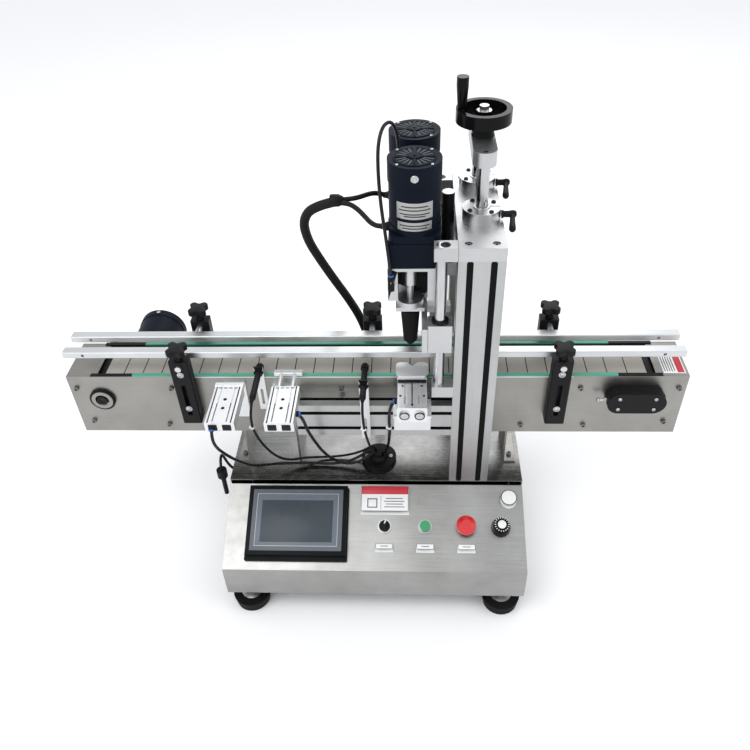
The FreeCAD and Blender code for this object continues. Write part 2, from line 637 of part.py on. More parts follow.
def belt_chain():
    """Flat slats on both runs, and slats turned round the two drums."""
    radius = DRUM / 2
    top = BELT_TOP - d.belt_thick
    y = CONVEYOR_MIDDLE - d.belt_width / 2
    reach = d.shaft_x.value
    count = int(2 * reach // d.belt_pitch.value)
    first = -count * d.belt_pitch / 2
    slat = (d.belt_pitch - d.belt_gap, d.belt_width, d.belt_thick)
    bottom = SHAFT_Z - radius - d.belt_thick - d.drum_gap
    pieces = []
    for index in range(count):
        x = first + index * d.belt_pitch
        pieces.append(box(slat, station(x, y, top)))
        pieces.append(box(slat, station(x, y, bottom)))
    arc = radius + d.drum_gap
    for side in (-1, 1):
        for index in range(1, ARC_SLATS + 1):
            angle = 180 * index / ARC_SLATS
            piece = box((d.arc_slat, d.belt_width, d.belt_thick), (0, 0, 0))
            out = Vector(side * math.sin(math.radians(angle)), 0, math.cos(math.radians(angle)))
            turn = Rotation(Vector(0, 1, 0), side * angle)
            corner = turn.multVec(Vector(-d.arc_slat.value / 2, 0, 0)) + out * arc.value
            place(piece, station(side * d.shaft_x + corner.x, y, SHAFT_Z + corner.z), turn)
            pieces.append(piece)
    return keep("belt_chain", group(*pieces))


def drum(name, x):
    """A belt drum on its shaft, which runs in the two flange bearings."""
    inner = d.conveyor_depth - 2 * d.plate
    wide = inner - 2 * d.drum_side_gap
    body = rod(DRUM, wide, station(x, d.conveyor_front + d.plate + d.drum_side_gap, SHAFT_Z), "y")
    reach = d.bearing_thick - 1
    shaft = rod(d.drum_shaft, d.conveyor_depth + 2 * reach,
                station(x, d.conveyor_front - reach, SHAFT_Z), "y")
    return keep(name, fuse(body, shaft))


def roller_bearings():
    pieces = []
    for x in (-d.shaft_x, d.shaft_x):
        for y, way in ((d.conveyor_front, "-y"), (CONVEYOR_REAR, "y")):
            flange = rod(d.bearing_outer, d.bearing_thick, station(x, y, SHAFT_Z), way)
            bore = rod(d.drum_shaft + 2 * d.bush_gap, 4 * d.bearing_thick,
                       station(x, y - 2 * d.bearing_thick, SHAFT_Z), "y")
            pieces.append(cut(flange, bore))
    return pieces


def wear_strips():
    """The strips on both plates' top edges beside the belt, with plain tips at their ends."""
    top = d.plate_bottom + d.plate_height
    pieces = []
    for y in (d.conveyor_front, CONVEYOR_REAR - d.strip_width):
        strip = box((d.strip_length, d.strip_width, d.strip_proud), station(-d.strip_length / 2, y, top))
        pieces.append(strip)
        for x in (-d.strip_length / 2 - d.strip_tip, d.strip_length / 2):
            pieces.append(box((d.strip_tip, d.strip_width, d.strip_proud - 1), station(x, y, top)))
    return keep("wear_strips", group(*pieces, *belt_carriers()))


def end_cover(side):
    """A bent cover that closes one end of the conveyor between the plates."""
    inner = d.conveyor_depth - 2 * d.plate - 2 * d.end_cover_gap
    thick = d.end_cover_thick
    y = d.conveyor_front + d.plate + d.end_cover_gap
    top = d.plate_bottom + d.plate_height
    start = -HALF_LENGTH if side < 0 else HALF_LENGTH - d.end_cover_length
    face = -HALF_LENGTH if side < 0 else HALF_LENGTH - thick
    lid = box((d.end_cover_length, inner, thick), station(start, y, top - thick))
    end = box((thick, inner, d.plate_height), station(face, y, d.plate_bottom))
    return fuse(lid, end)


def stadium(length, height, depth, at, way_y):
    """A round-ended block lying along X, by the middle of its back face."""
    x, y, z = at
    block = box((length - height, depth, height),
                (x - (length - height) / 2, y if way_y > 0 else y - depth, z - height / 2))
    way = "y" if way_y > 0 else "-y"
    ends = [rod(height, depth, (x + side * (length - height) / 2, y, z), way) for side in (-1, 1)]
    return fuse(block, *ends)


def conveyor_covers():
    """The end covers, the front gear cover and the rear drive chain cover."""
    tension = stadium(d.tension_length, d.tension_height, d.tension_depth,
                      station(d.tension_x, d.conveyor_front, d.tension_z), -1)
    pocket = rod(d.bearing_outer + 2, d.bearing_thick + 1,
                 station(d.shaft_x, d.conveyor_front, SHAFT_Z), "-y")
    length = d.shaft_x + d.motor_x + d.chain_cover_height
    middle = (d.motor_x - d.shaft_x) / 2
    z = (d.motor_z + SHAFT_Z) / 2
    chain = stadium(length, d.chain_cover_height, d.chain_cover_depth,
                    station(middle, CONVEYOR_REAR, z), 1)
    hollow = rod(d.bearing_outer + 2, d.bearing_thick + 1, station(-d.shaft_x, CONVEYOR_REAR, SHAFT_Z), "y")
    return keep("conveyor_covers",
                group(end_cover(-1), end_cover(1), cut(tension, pocket), cut(chain, hollow)))


def conveyor_gearmotor():
    start = CONVEYOR_REAR + d.chain_cover_depth
    gearbox = box((d.motor_gearbox, d.gearbox_length, d.motor_gearbox),
                  station(d.motor_x - d.motor_gearbox / 2, start, d.motor_z - d.motor_gearbox / 2))
    motor = rod(d.motor_outer, d.motor_length, station(d.motor_x, start + d.gearbox_length, d.motor_z), "y")
    return keep("conveyor_gearmotor", fuse(gearbox, motor))


def conveyor_supports():
    """Two inverted channels with turned-out feet between the console top and the plates."""
    thick = d.support_thick
    y = CONVEYOR_MIDDLE - d.support_depth / 2
    pieces = []
    for side in (-1, 1):
        near, far = d.support_near, d.support_far
        left = near if side > 0 else -far
        wide = far - near
        head = box((wide, d.support_depth, thick), station(left, y, d.plate_bottom - thick))
        webs = [box((thick, d.support_depth, d.plate_bottom), station(x, y, 0))
                for x in (left, left + wide - thick)]
        foot_x = far if side > 0 else -far - d.support_foot
        foot = box((d.support_foot, d.support_depth, thick), station(foot_x, y, 0))
        hole = rod(d.screw_hole, 3 * thick, station(foot_x + d.support_foot / 2, y + d.foot_screw_in, -thick))
        pieces.append(cut(fuse(head, *webs, foot), hole))
    return keep("conveyor_supports", group(*pieces))


# ---------------------------------------------------------------- rails

FRONT_BRACKETS = [-d.front_bracket_x, d.front_bracket_right]
REAR_BRACKETS = [-d.rear_bracket_x, NOTHING, d.rear_bracket_x]


def rail_bracket(x, side):
    """A moulded bracket on a plate, bored for its rail rod, with a slotted face and a foot."""
    deep = d.rail_bracket_deep
    y = d.conveyor_front - deep if side < 0 else CONVEYOR_REAR
    wide, high = d.rail_bracket_wide, d.bracket_top - d.bracket_bottom
    block = eased(box((wide, deep, high), station(x - wide / 2, y, d.bracket_bottom)), 3, "z")
    slot_y = y - d.rod if side < 0 else y + deep - d.rod
    slot = box((d.slot_wide, 2 * d.rod, high / 2), station(x - d.slot_wide / 2, slot_y, d.slot_bottom))
    bore = rod(d.rod + 2 * d.rod_gap, deep + 4, station(x, y - 2, d.rod_z), "y")
    hole = rod(d.knob_stem + d.knob_play, d.bracket_top - d.rod_z, station(x, y + deep / 2, d.rod_z))
    return cut(block, slot, bore, hole)


def rail_brackets():
    pieces = [rail_bracket(x, -1) for x in FRONT_BRACKETS] + [rail_bracket(x, 1) for x in REAR_BRACKETS]
    return keep("rail_brackets", group(*pieces))


def star_knob(name, x, side):
    """A four-lobed clamping knob on a stem that presses on the rail rod."""
    deep = d.rail_bracket_deep
    y = d.conveyor_front - deep / 2 if side < 0 else CONVEYOR_REAR + deep / 2
    base = d.bracket_top + d.control_gap
    neck = rod(d.knob_hub, d.knob_neck, station(x, y, base))
    hub = rod(d.knob - d.knob_lobe, d.knob_height, station(x, y, base + d.knob_neck))
    reach = (d.knob - d.knob_lobe) / 2
    lobes = []
    for index in range(4):
        angle = math.radians(90 * index + 90 / 2)
        lobes.append(rod(d.knob_lobe, d.knob_height,
                         station(x + math.cos(angle) * reach, y + math.sin(angle) * reach,
                                 base + d.knob_neck)))
    tip = d.rod_z + d.rod / 2 + d.control_gap
    stem = rod(d.knob_stem, base - tip + 2, station(x, y, tip))
    return keep(name, fuse(neck, hub, stem, *lobes))


def guide_rail(name, y, places, side):
    """A rail bar with the rods that carry it through the brackets."""
    start = -(HALF_LENGTH - 2)
    bar = eased(box((d.rail_length, d.rail_wide, d.rail_high), station(start, y, d.rail_z)), 2, "x")
    holes = [rod(d.screw_shank, 3 * d.rail_wide, station(x, y - d.rail_wide, d.rail_z + d.rail_high / 2), "y")
             for x in (start + d.rail_tip, start + d.rail_length - d.rail_tip)]
    rods = []
    for x in places:
        outer = d.conveyor_front - d.rail_bracket_deep - d.rod_tail
        if side < 0:
            rods.append(rod(d.rod, y - outer, station(x, outer, d.rod_z), "y"))
        else:
            near = y + d.rail_wide
            far = CONVEYOR_REAR + d.rail_bracket_deep + d.rod_tail
            rods.append(rod(d.rod, far - near, station(x, near, d.rod_z), "y"))
    return keep(name, group(cut(bar, *holes), *rods))


# ---------------------------------------------------------------- profiles and portal

def slotted_bar(length, at, turn="z"):
    """An 80 x 40 slotted profile, drawn standing with its wide face towards -Y."""
    wide, deep = d.profile_wide, d.profile_deep
    bar = box((wide, deep, length), (0, 0, 0))
    lip, lip_deep = d.groove, d.groove_lip
    inner, inner_deep = d.groove_wide, d.groove_deep - d.groove_lip
    grooves = []
    for x in (wide / 4, 3 * wide / 4):
        for y, back in ((NOTHING, lip_deep), (deep - lip_deep, deep - lip_deep - inner_deep)):
            grooves.append(box((lip, lip_deep, length), (x - lip / 2, y, 0)))
            grooves.append(box((inner, inner_deep, length), (x - inner / 2, back, 0)))
    for x, back in ((NOTHING, lip_deep), (wide - lip_deep, wide - lip_deep - inner_deep)):
        grooves.append(box((lip_deep, lip, length), (x, deep / 2 - lip / 2, 0)))
        grooves.append(box((inner_deep, inner, length), (back, deep / 2 - inner / 2, 0)))
    piece = cut(bar, *grooves)
    return place(piece, at, WAYS[turn])


def frame_profiles():
    """The two uprights of the portal and the station profile on the conveyor's front plate."""
    front = slotted_bar(d.upright_height, station(d.upright_x, 0, 0))
    rear = slotted_bar(d.upright_height, station(d.upright_x, d.portal_depth - d.profile_deep, 0))
    cross = slotted_bar(d.upright_x - d.station_left,
                        station(d.station_left, d.conveyor_front - d.profile_deep,
                                d.station_bottom + d.profile_wide), "x")
    return keep("frame_profiles", group(front, rear, cross))


def shaft_y(rear):
    return d.portal_depth - d.shaft_inset if rear else d.shaft_inset


def portal_screws():
    """Screw places on the portal's top: x, y."""
    places = []
    for y in (d.portal_inset, d.portal_depth - d.portal_inset):
        places += [(d.upright_x + d.portal_inset, y), (d.upright_x + d.profile_wide - d.portal_inset, y)]
    return places


def flange_y():
    return [d.lift_y - d.lift_space / 2, d.lift_y + d.lift_space / 2]


def top_plate():
    """The plate across the uprights, with bores for the lift, and the four shaft blocks beside it."""
    thick = d.top_thick
    plate = box((d.profile_wide, d.portal_depth, thick), station(d.upright_x, 0, TOP_PLATE_Z))
    holes = [rod(d.lift_rod + 2, 3 * thick, station(d.lift_x, y, TOP_PLATE_Z - thick)) for y in flange_y()]
    holes.append(rod(d.screw + 2 * d.screw_gap, 3 * thick, station(d.lift_x, d.lift_y, TOP_PLATE_Z - thick)))
    holes += [rod(d.screw_hole, 3 * thick, station(x, y, TOP_PLATE_Z - thick)) for x, y in portal_screws()]
    sink = d.sink_deep
    holes += [rod(d.sink, 2 * sink, station(x, y, TOP_PLATE_Z + thick - sink)) for x, y in portal_screws()]
    pieces = [cut(plate, *holes)]
    for rear in (False, True):
        y = d.portal_depth - d.shaft_block_deep if rear else NOTHING
        for z, high in ((TOP_PLATE_Z, thick), (d.low_block_z, d.low_block_high)):
            block = box((d.shaft_block, d.shaft_block_deep, high), station(d.upright_x - d.shaft_block, y, z))
            bore = rod(d.guide_shaft, 3 * high, station(d.shaft_place, shaft_y(rear), z - high))
            pieces.append(cut(block, bore))
    return keep("top_plate", group(*pieces))


def shaft_guides():
    """The two guide shafts, and the split flanges that clamp the lift rods."""
    shafts = [rod(d.guide_shaft, TOP_PLATE_Z + d.top_thick - d.low_block_z,
                  station(d.shaft_place, shaft_y(rear), d.low_block_z)) for rear in (False, True)]
    flanges = []
    base = TOP_PLATE_Z + d.top_thick
    for y in flange_y():
        flange = rod(d.flange, d.flange_high, station(d.lift_x, y, base))
        bore = rod(d.lift_rod + 2 * d.bush_gap, 2 * d.flange_high, station(d.lift_x, y, base - THROUGH))
        split = box((d.flange, d.split, d.flange_high), station(d.lift_x + d.split, y - d.split / 2, base))
        flanges.append(cut(flange, bore, split))
    return keep("shaft_guides", group(*shafts, *flanges))


def clamp_lever(name, y):
    """A bent lever on the clamping bolt at a flange's right side."""
    z = TOP_PLATE_Z + d.top_thick + d.flange_high / 2
    x = d.lift_x + d.flange / 2 + d.control_gap
    hub = rod(d.lever_hub, d.lever_reach, station(x, y - d.lever_aside, z), "x")
    knee = station(x + d.lever_reach - d.lever_hub / 2, y - d.lever_aside, z)
    arm = cone(d.lever_bar, d.lever_tip, d.lever_arm, knee, LEVER_WAY)
    return keep(name, fuse(hub, arm))


# ---------------------------------------------------------------- height adjustment

def lift_bridge():
    """The bridge over the two lift rods, the rods, and the crosshead at their lower ends."""
    wide = d.bridge_wide
    first, last = flange_y()
    z = d.bridge_z
    block = box((wide, d.lift_space, d.bridge_high), station(d.lift_x - wide / 2, first, z))
    ends = [rod(wide, d.bridge_high, station(d.lift_x, y, z)) for y in (first, last)]
    bore = rod(d.screw + 4 * d.screw_gap, 2 * d.bridge_high, station(d.lift_x, d.lift_y, z - THROUGH))
    seats = [rod(d.lift_rod, d.bridge_high - 4, station(d.lift_x, y, z)) for y in (first, last)]
    rods = [rod(d.lift_rod, d.bridge_z + d.bridge_high - 4 - d.cross_z, station(d.lift_x, y, d.cross_z))
            for y in (first, last)]
    return keep("lift_bridge", group(cut(fuse(block, *ends), bore, *seats), *rods, crosshead()))


def crosshead():
    """The block inside the portal that the lift rods carry, with an arm for the lift cylinder."""
    margin = d.cross_margin
    x = d.upright_x + margin
    y = d.profile_deep + margin
    wide = d.profile_wide - 2 * margin
    deep = d.portal_depth - 2 * d.profile_deep - 2 * margin
    block = box((wide, deep, d.cross_high), station(x, y, d.cross_z))
    arm_x = d.cylinder_x - d.cylinder / 2 - 4
    arm = box((x - arm_x, d.cylinder + 2 * d.lug_room, d.cross_high),
              station(arm_x, d.cylinder_y - d.cylinder / 2 - d.lug_room, d.cross_z))
    bores = [rod(d.lift_rod, 2 * d.cross_high, station(d.lift_x, fy, d.cross_z - THROUGH)) for fy in flange_y()]
    bores.append(rod(d.piston_rod + 4, 2 * d.cross_high,
                     station(d.cylinder_x, d.cylinder_y, d.cross_z - THROUGH)))
    return cut(fuse(block, arm), *bores)


def lift_cylinder():
    """The air cylinder barrel that stands on the crosshead's arm."""
    base = d.cross_z + d.cross_high
    at = station(d.cylinder_x, d.cylinder_y, base)
    barrel = rod(d.cylinder, d.cylinder_top - base, at)
    bore = rod(d.cylinder_bore, d.cylinder_top - base - 2 * d.cylinder_end,
               station(d.cylinder_x, d.cylinder_y, base + d.cylinder_end))
    gland = rod(d.piston_rod + 2 * d.piston_gap, 2 * d.cylinder_end,
                station(d.cylinder_x, d.cylinder_y, base - 2))
    return keep("lift_cylinder", cut(barrel, bore, gland))


def handwheel():
    """The dished wheel on the lift screw, with a collar below and a cap nut above."""
    x, y, z = d.lift_x, d.lift_y, d.wheel_z
    rim = cut(rod(d.wheel, d.wheel_high, station(x, y, z)),
              rod(d.wheel - 2 * d.wheel_rim, d.wheel_high, station(x, y, z + d.wheel_web)))
    hub = rod(d.wheel_hub, d.wheel_high - 4, station(x, y, z))
    seat = d.bridge_z + d.bridge_high + d.control_gap
    collar = cone(d.wheel_collar, d.wheel_hub, z - seat, station(x, y, seat))
    pin_hole = rod(d.grip_pin, d.wheel_high, station(x - d.grip_out, y, z))
    wheel = cut(fuse(rim, hub, collar), pin_hole)
    shaft = rod(d.screw, z - d.screw_bottom, station(x, y, d.screw_bottom))
    nut = rod(d.wheel_nut, d.wheel_nut_high, station(x, y, z + d.wheel_high - 4))
    bore = rod(d.screw, z - seat, station(x, y, seat))
    return keep("handwheel", group(cut(wheel, bore), shaft, nut))


def handwheel_grip():
    x, y = d.lift_x - d.grip_out, d.lift_y
    seat = d.wheel_z + d.wheel_high + d.grip_gap
    body = fuse(cone(d.grip_low, d.grip_high, d.grip_taper, station(x, y, seat)),
                rod(d.grip_high, d.grip_long - d.grip_taper, station(x, y, seat + d.grip_taper)))
    pin = rod(d.grip_pin - 2 * d.bush_gap, d.wheel_high + d.grip_gap - 2, station(x, y, d.wheel_z + 2))
    return keep("handwheel_grip", fuse(body, pin))


# ---------------------------------------------------------------- capping head

def head_carriage():
    """Two bearing blocks on the guide shafts, joined by a carriage plate with a table."""
    pieces = []
    for rear in (False, True):
        y = shaft_y(rear) - d.block_deep / 2
        at = station(d.block_x, y, d.block_z)
        block = eased(box((d.block_wide, d.block_deep, d.block_high), at), 2, "z")
        bore = rod(d.guide_shaft + 2 * d.bush_gap, 2 * d.block_high,
                   station(d.shaft_place, shaft_y(rear), d.block_z - THROUGH))
        seal = rod(d.seal - 2, d.seal_high, station(d.shaft_place, shaft_y(rear), d.block_z + d.block_high))
        seal_bore = rod(d.guide_shaft + 4 * d.bush_gap, d.seal_high,
                        station(d.shaft_place, shaft_y(rear), d.block_z + d.block_high))
        pieces += [cut(block, bore), cut(seal, seal_bore)]
    first = shaft_y(False) - d.block_deep / 2
    last = shaft_y(True) + d.block_deep / 2
    plate = box((d.carriage, last - first, d.carriage_high),
                station(d.block_x - d.carriage, first, d.block_z))
    riser = box((d.carriage, d.gripper_deep, d.carriage_top - d.block_z),
                station(d.block_x - d.carriage, d.gripper_y, d.block_z))
    table = box((d.table_wide + d.carriage, d.gripper_deep, d.table_high),
                station(d.table_x, d.gripper_y, d.carriage_top))
    lug = box((d.cylinder_x - d.block_x + d.lug_wide / 2, d.lug_wide, d.lug_high),
              station(d.block_x, d.cylinder_y - d.lug_wide / 2, d.lug_z))
    pieces.append(fuse(plate, riser, table, lug))
    low = d.lug_z + d.lug_high
    piston_z = d.cross_z + d.cross_high + d.cylinder_end + d.piston_gap
    stem = rod(d.piston_rod, piston_z - low, station(d.cylinder_x, d.cylinder_y, low))
    piston = rod(d.cylinder_bore - 2 * d.piston_gap, d.piston, station(d.cylinder_x, d.cylinder_y, piston_z))
    pieces.append(fuse(stem, piston))
    return keep("head_carriage", group(*pieces))


def finger_x():
    middle = d.gripper_x + d.gripper_wide / 2
    return [middle - d.finger_space / 2, middle + d.finger_space / 2]


def gripper_z():
    return d.carriage_top + d.table_high


def gripper_cylinder():
    """The parallel air gripper on the carriage table, bored for the frames' guide fingers."""
    body = eased(box((d.gripper_wide, d.gripper_deep, d.gripper_high),
                     station(d.gripper_x, d.gripper_y, gripper_z())), 3, "y")
    bores = [rod(d.finger + 2 * d.bush_gap, 2 * d.gripper_deep,
                 station(x, d.gripper_y - THROUGH, gripper_z() + d.gripper_high / 2), "y") for x in finger_x()]
    return keep("gripper_cylinder", cut(body, *bores))


def spindle_motor(name, y):
    """A vertical gearmotor: square gearbox, flange neck and round motor."""
    x = d.motor_centre
    side = d.head_gearbox
    box_top = d.gearbox_z + d.gearbox_high
    corner = station(x - side / 2, y - side / 2, d.gearbox_z)
    gearbox = eased(box((side, side, d.gearbox_high), corner), d.gearbox_round, "z")
    inner = side - d.neck_step
    neck = box((inner, inner, d.motor_neck), station(x - inner / 2, y - inner / 2, box_top))
    neck = eased(neck, d.neck_round, "z")
    low = box_top + d.motor_neck
    body = rod(d.spindle_motor - d.motor_step, d.motor_top - low, station(x, y, low))
    cap = rod(d.spindle_motor, d.motor_cap, station(x, y, d.motor_top - d.motor_cap))
    foot = rod(d.spindle_motor, d.motor_foot, station(x, y, low))
    return keep(name, fuse(gearbox, neck, body, cap, foot))


def motor_frame(motor_y, side):
    """The solids of an open frame under a gearbox: a plate, two walls and a back wall.
    side is -1 for the front frame, which opens to the front, and 1 for the rear one."""
    outer = motor_y + side * d.head_gearbox / 2
    y = outer if side < 0 else outer - d.frame_deep
    back_y = y + d.frame_deep - d.frame_wall if side < 0 else y
    side_wide = (d.frame_wide - d.frame_open) / 2
    high = d.gearbox_z - d.frame_z
    walls = [box((side_wide, d.frame_deep, high), station(x, y, d.frame_z))
             for x in (d.frame_x, d.frame_x + d.frame_wide - side_wide)]
    plate = box((d.frame_wide, d.frame_deep, d.frame_plate), station(d.frame_x, y, d.gearbox_z - d.frame_plate))
    back = box((d.frame_wide, d.frame_wall, d.gearbox_z - d.tongue_z), station(d.frame_x, back_y, d.tongue_z))
    return [*walls, plate, back]


def frame_back(motor_y, side):
    """Where a frame's back wall faces the gripper cylinder."""
    return motor_y + side * (d.head_gearbox / 2 - d.frame_deep)


def fingers(motor_y, side):
    """The two guide fingers of a frame, which slide in the gripper cylinder."""
    way = "y" if side < 0 else "-y"
    z = gripper_z() + d.gripper_high / 2
    return [rod(d.finger, d.finger_length, station(x, frame_back(motor_y, side), z), way) for x in finger_x()]


def spindle_bore(y):
    return rod(d.spindle + 2 * d.spindle_gap, 3 * d.arm_high,
               station(d.spindle_x, y, d.arm_z - d.arm_high))


def front_frame():
    y = d.front_spindle
    start = y - d.hub_flange / 2 + d.hub_overlap
    back = frame_back(d.front_motor_y, -1)
    tongue = box((d.frame_open, back - start, d.tongue),
                 station(d.spindle_x - d.frame_open / 2, start, d.tongue_z))
    drive_hole = rod(d.coupling, 3 * d.frame_plate, station(d.spindle_x, y, d.gearbox_z - 2 * d.frame_plate))
    frame = cut(fuse(*motor_frame(d.front_motor_y, -1), tongue), drive_hole, spindle_bore(y))
    at = station(d.spindle_x, y, d.tongue_z + d.tongue)
    flange = cut(rod(d.hub_flange, d.hub_high, at), rod(d.spindle + 2 * d.spindle_gap, d.hub_high, at))
    face = d.front_motor_y - d.head_gearbox / 2
    elbow_x, elbow_y = d.frame_x + d.fitting / 2, face - d.fitting / 2 - 2
    elbow = fuse(rod(d.fitting, d.fitting_high, station(elbow_x, elbow_y, d.fitting_z)),
                 rod(d.fitting - 2, face - elbow_y, station(elbow_x, elbow_y, d.fitting_z + d.fitting / 2), "y"))
    return keep("front_frame", group(frame, flange, elbow, *fingers(d.front_motor_y, -1)))


def rear_frame():
    """The rear frame carries its spindle on a forward arm, so that both rollers face each other."""
    y = d.rear_spindle
    back = frame_back(d.rear_motor_y, 1)
    arm = box((d.arm_wide, back - y + d.arm_wide / 2 + d.frame_wall / 2, d.arm_high),
              station(d.spindle_x - d.arm_wide / 2, y - d.arm_wide / 2, d.arm_z))
    frame = cut(fuse(*motor_frame(d.rear_motor_y, 1), arm), spindle_bore(y))
    return keep("rear_frame", group(frame, *fingers(d.rear_motor_y, 1)))


def capping_roller(name, y, under, shaft_top, coupled):
    """A tapered rubber roller on its spindle, with a clamping tip below it."""
    top = under - d.roller_clear
    roller = cone(d.roller_low, d.roller_top, top - d.roller_z, station(d.spindle_x, y, d.roller_z))
    bore = rod(d.spindle, top - d.roller_z, station(d.spindle_x, y, d.roller_z))
    shaft = rod(d.spindle, shaft_top - d.roller_z, station(d.spindle_x, y, d.roller_z))
    tip = rod(d.tip, d.tip_high, station(d.spindle_x, y, d.roller_z - d.tip_high))
    slot = box((d.tip, 2, d.tip_high / 2), station(d.spindle_x - d.tip / 2, y - 1, d.roller_z - d.tip_high))
    metal = [shaft, tip]
    if coupled:
        metal.append(rod(d.coupling - 2, d.coupling_high, station(d.spindle_x, y, d.coupling_z)))
    return keep(name, group(cut(roller, bore), cut(fuse(*metal), slot)))


# ---------------------------------------------------------------- stops, clamp and sensors

def stop_places():
    return {"left": d.left_stop, "right": d.right_stop}


def rod_pair(x, y, z, length, way="y"):
    return [rod(d.stop_rod, length, station(x + side * d.stop_rod_space / 2, y, z), way) for side in (-1, 1)]


def stop_rod_z():
    return d.stop_top - d.stop_bar_high / 2


def station_cylinders():
    """Two flat twin-rod stop cylinders with front recesses and top grooves, and the clamp cylinder."""
    pieces = []
    for x in stop_places().values():
        y = -d.stop_rear - d.stop_long
        z = d.stop_top - d.stop_high
        body = box((d.stop_wide, d.stop_long, d.stop_high), station(x - d.stop_wide / 2, y, z))
        body = eased(body, d.stop_round, "y")
        bores = [rod(d.stop_rod + 2 * d.rod_gap, d.stop_long - 2,
                     station(x + side * d.stop_rod_space / 2, y + 2, stop_rod_z()), "y") for side in (-1, 1)]
        recesses = [box((d.recess_wide, d.recess_deep, d.recess_high),
                        station(x + side * d.stop_rod_space / 2 - d.recess_wide / 2,
                                y - d.recess_deep + d.recess_out,
                                z + d.stop_high / 2 - d.recess_high / 2)) for side in (-1, 1)]
        grooves = [box((2, d.stop_long, 2),
                       station(x + side * (d.stop_wide / 2 - d.stop_groove) - 1, y, d.stop_top - 1))
                   for side in (-1, 1)]
        pieces.append(cut(body, *bores, *recesses, *grooves))
    return keep("station_cylinders", group(*pieces, clamp_cylinder()))


def stop_bar(name, x, out):
    """A cross bar on two rods; out is how far it stands from the cylinder at rest."""
    face = -d.stop_rear + d.control_gap + out
    z = stop_rod_z()
    bar = eased(box((d.stop_wide, d.stop_bar_deep, d.stop_bar_high),
                    station(x - d.stop_wide / 2, face, z - d.stop_bar_high / 2)), d.bar_round, "x")
    length = d.stop_long - d.stop_stroke - d.rod_short + out
    return keep(name, fuse(bar, *rod_pair(x, face - length, z, length + 2)))


def clamp_cylinder():
    x, z = d.clamp_x, d.stop_top - d.clamp_high
    y = d.clamp_rear - d.clamp_long + d.clamp_high
    body = box((d.clamp_wide, d.clamp_long, d.clamp_high), station(x - d.clamp_wide / 2, y, z))
    body = eased(body, d.clamp_round, "y")
    bores = [rod(d.stop_rod + 2 * d.rod_gap, d.clamp_long - d.bore_end,
                 station(x + side * d.stop_rod_space / 2, y + d.bore_end, stop_rod_z()), "y") for side in (-1, 1)]
    caps = [rod(d.bore_cap, 2, station(x + side * d.stop_rod_space / 2, y, z + d.clamp_high / 2), "-y")
            for side in (-1, 1)]
    return cut(fuse(body, *caps), *bores)


def clamp_jaw():
    """The notched jaw with its backing bar and two rods."""
    x = d.clamp_x
    face = d.clamp_rear + d.clamp_high + d.control_gap
    z = stop_rod_z()
    bar = box((d.clamp_wide, d.clamp_bar, d.stop_bar_high), station(x - d.clamp_wide / 2, face, z - d.jaw_drop))
    start = face + d.clamp_bar
    jaw = box((d.jaw_wide, d.jaw_deep, d.jaw_high), station(x - d.jaw_wide / 2, start, z - d.jaw_drop))
    jaw = eased(jaw, d.jaw_round, "z")
    half = d.jaw_notch / 2
    notch = profile([(-half, d.jaw_deep + 1), (0, d.jaw_deep - d.jaw_notch_deep), (half, d.jaw_deep + 1)],
                    3 * d.jaw_high, station(x, start, z - d.jaw_high), "XY_Plane")
    length = d.clamp_long - d.bore_end - d.clamp_stroke - d.jaw_round
    return keep("clamp_jaw", fuse(cut(jaw, notch), bar, *rod_pair(x, face - length, z, length + 2)))


def shelf_bracket(x, wide, plate_y, y, bottom, top):
    """An angle plate: upright against the conveyor or profile, with a shelf under a cylinder."""
    upright = box((wide, d.shelf, top - bottom), station(x - wide / 2, plate_y - d.shelf, bottom))
    shelf = box((wide, plate_y - y, d.shelf), station(x - wide / 2, y, top - d.shelf))
    rib = profile([(0, 0), (0, -(top - bottom) * d.rib_share), (-(plate_y - y) * d.rib_share, 0)], d.shelf,
                  station(x - d.shelf / 2, plate_y - d.shelf / 2, top - d.shelf / 2))
    return fuse(upright, shelf, rib)


def sensor_stand(x, plate_y, bottom):
    stand = box((d.stand_wide, d.stand_thick, d.stand_high - bottom),
                station(x - d.stand_wide / 2, plate_y - d.stand_thick, bottom))
    hole = rod(d.sensor + 2 * d.rod_gap, 3 * d.stand_thick,
               station(x, plate_y - 2 * d.stand_thick, d.sensor_z), "y")
    slot = box((d.stand_slot, 3 * d.stand_thick, d.stand_slot_long),
               station(x - d.stand_slot / 2, plate_y - 2 * d.stand_thick, bottom + d.stand_slot_up))
    return cut(stand, hole, slot)


def sensor(x, plate_y):
    """A threaded barrel with two lock nuts and a domed head towards the belt."""
    end = d.sensor_tail + d.sensor_length
    barrel = rod(d.sensor, d.sensor_length, station(x, d.sensor_tail, d.sensor_z), "y")
    head = rod(d.sensor_head, d.sensor_head_long, station(x, end, d.sensor_z), "y")
    dome = ball(d.sensor_head, station(x, end + d.sensor_head_long, d.sensor_z))
    nuts = [hexagon(d.lock_nut, d.lock_nut_thick, station(x, plate_y, d.sensor_z), "y"),
            hexagon(d.lock_nut, d.lock_nut_thick, station(x, plate_y - d.stand_thick, d.sensor_z), "-y")]
    return fuse(barrel, head, dome, *nuts)


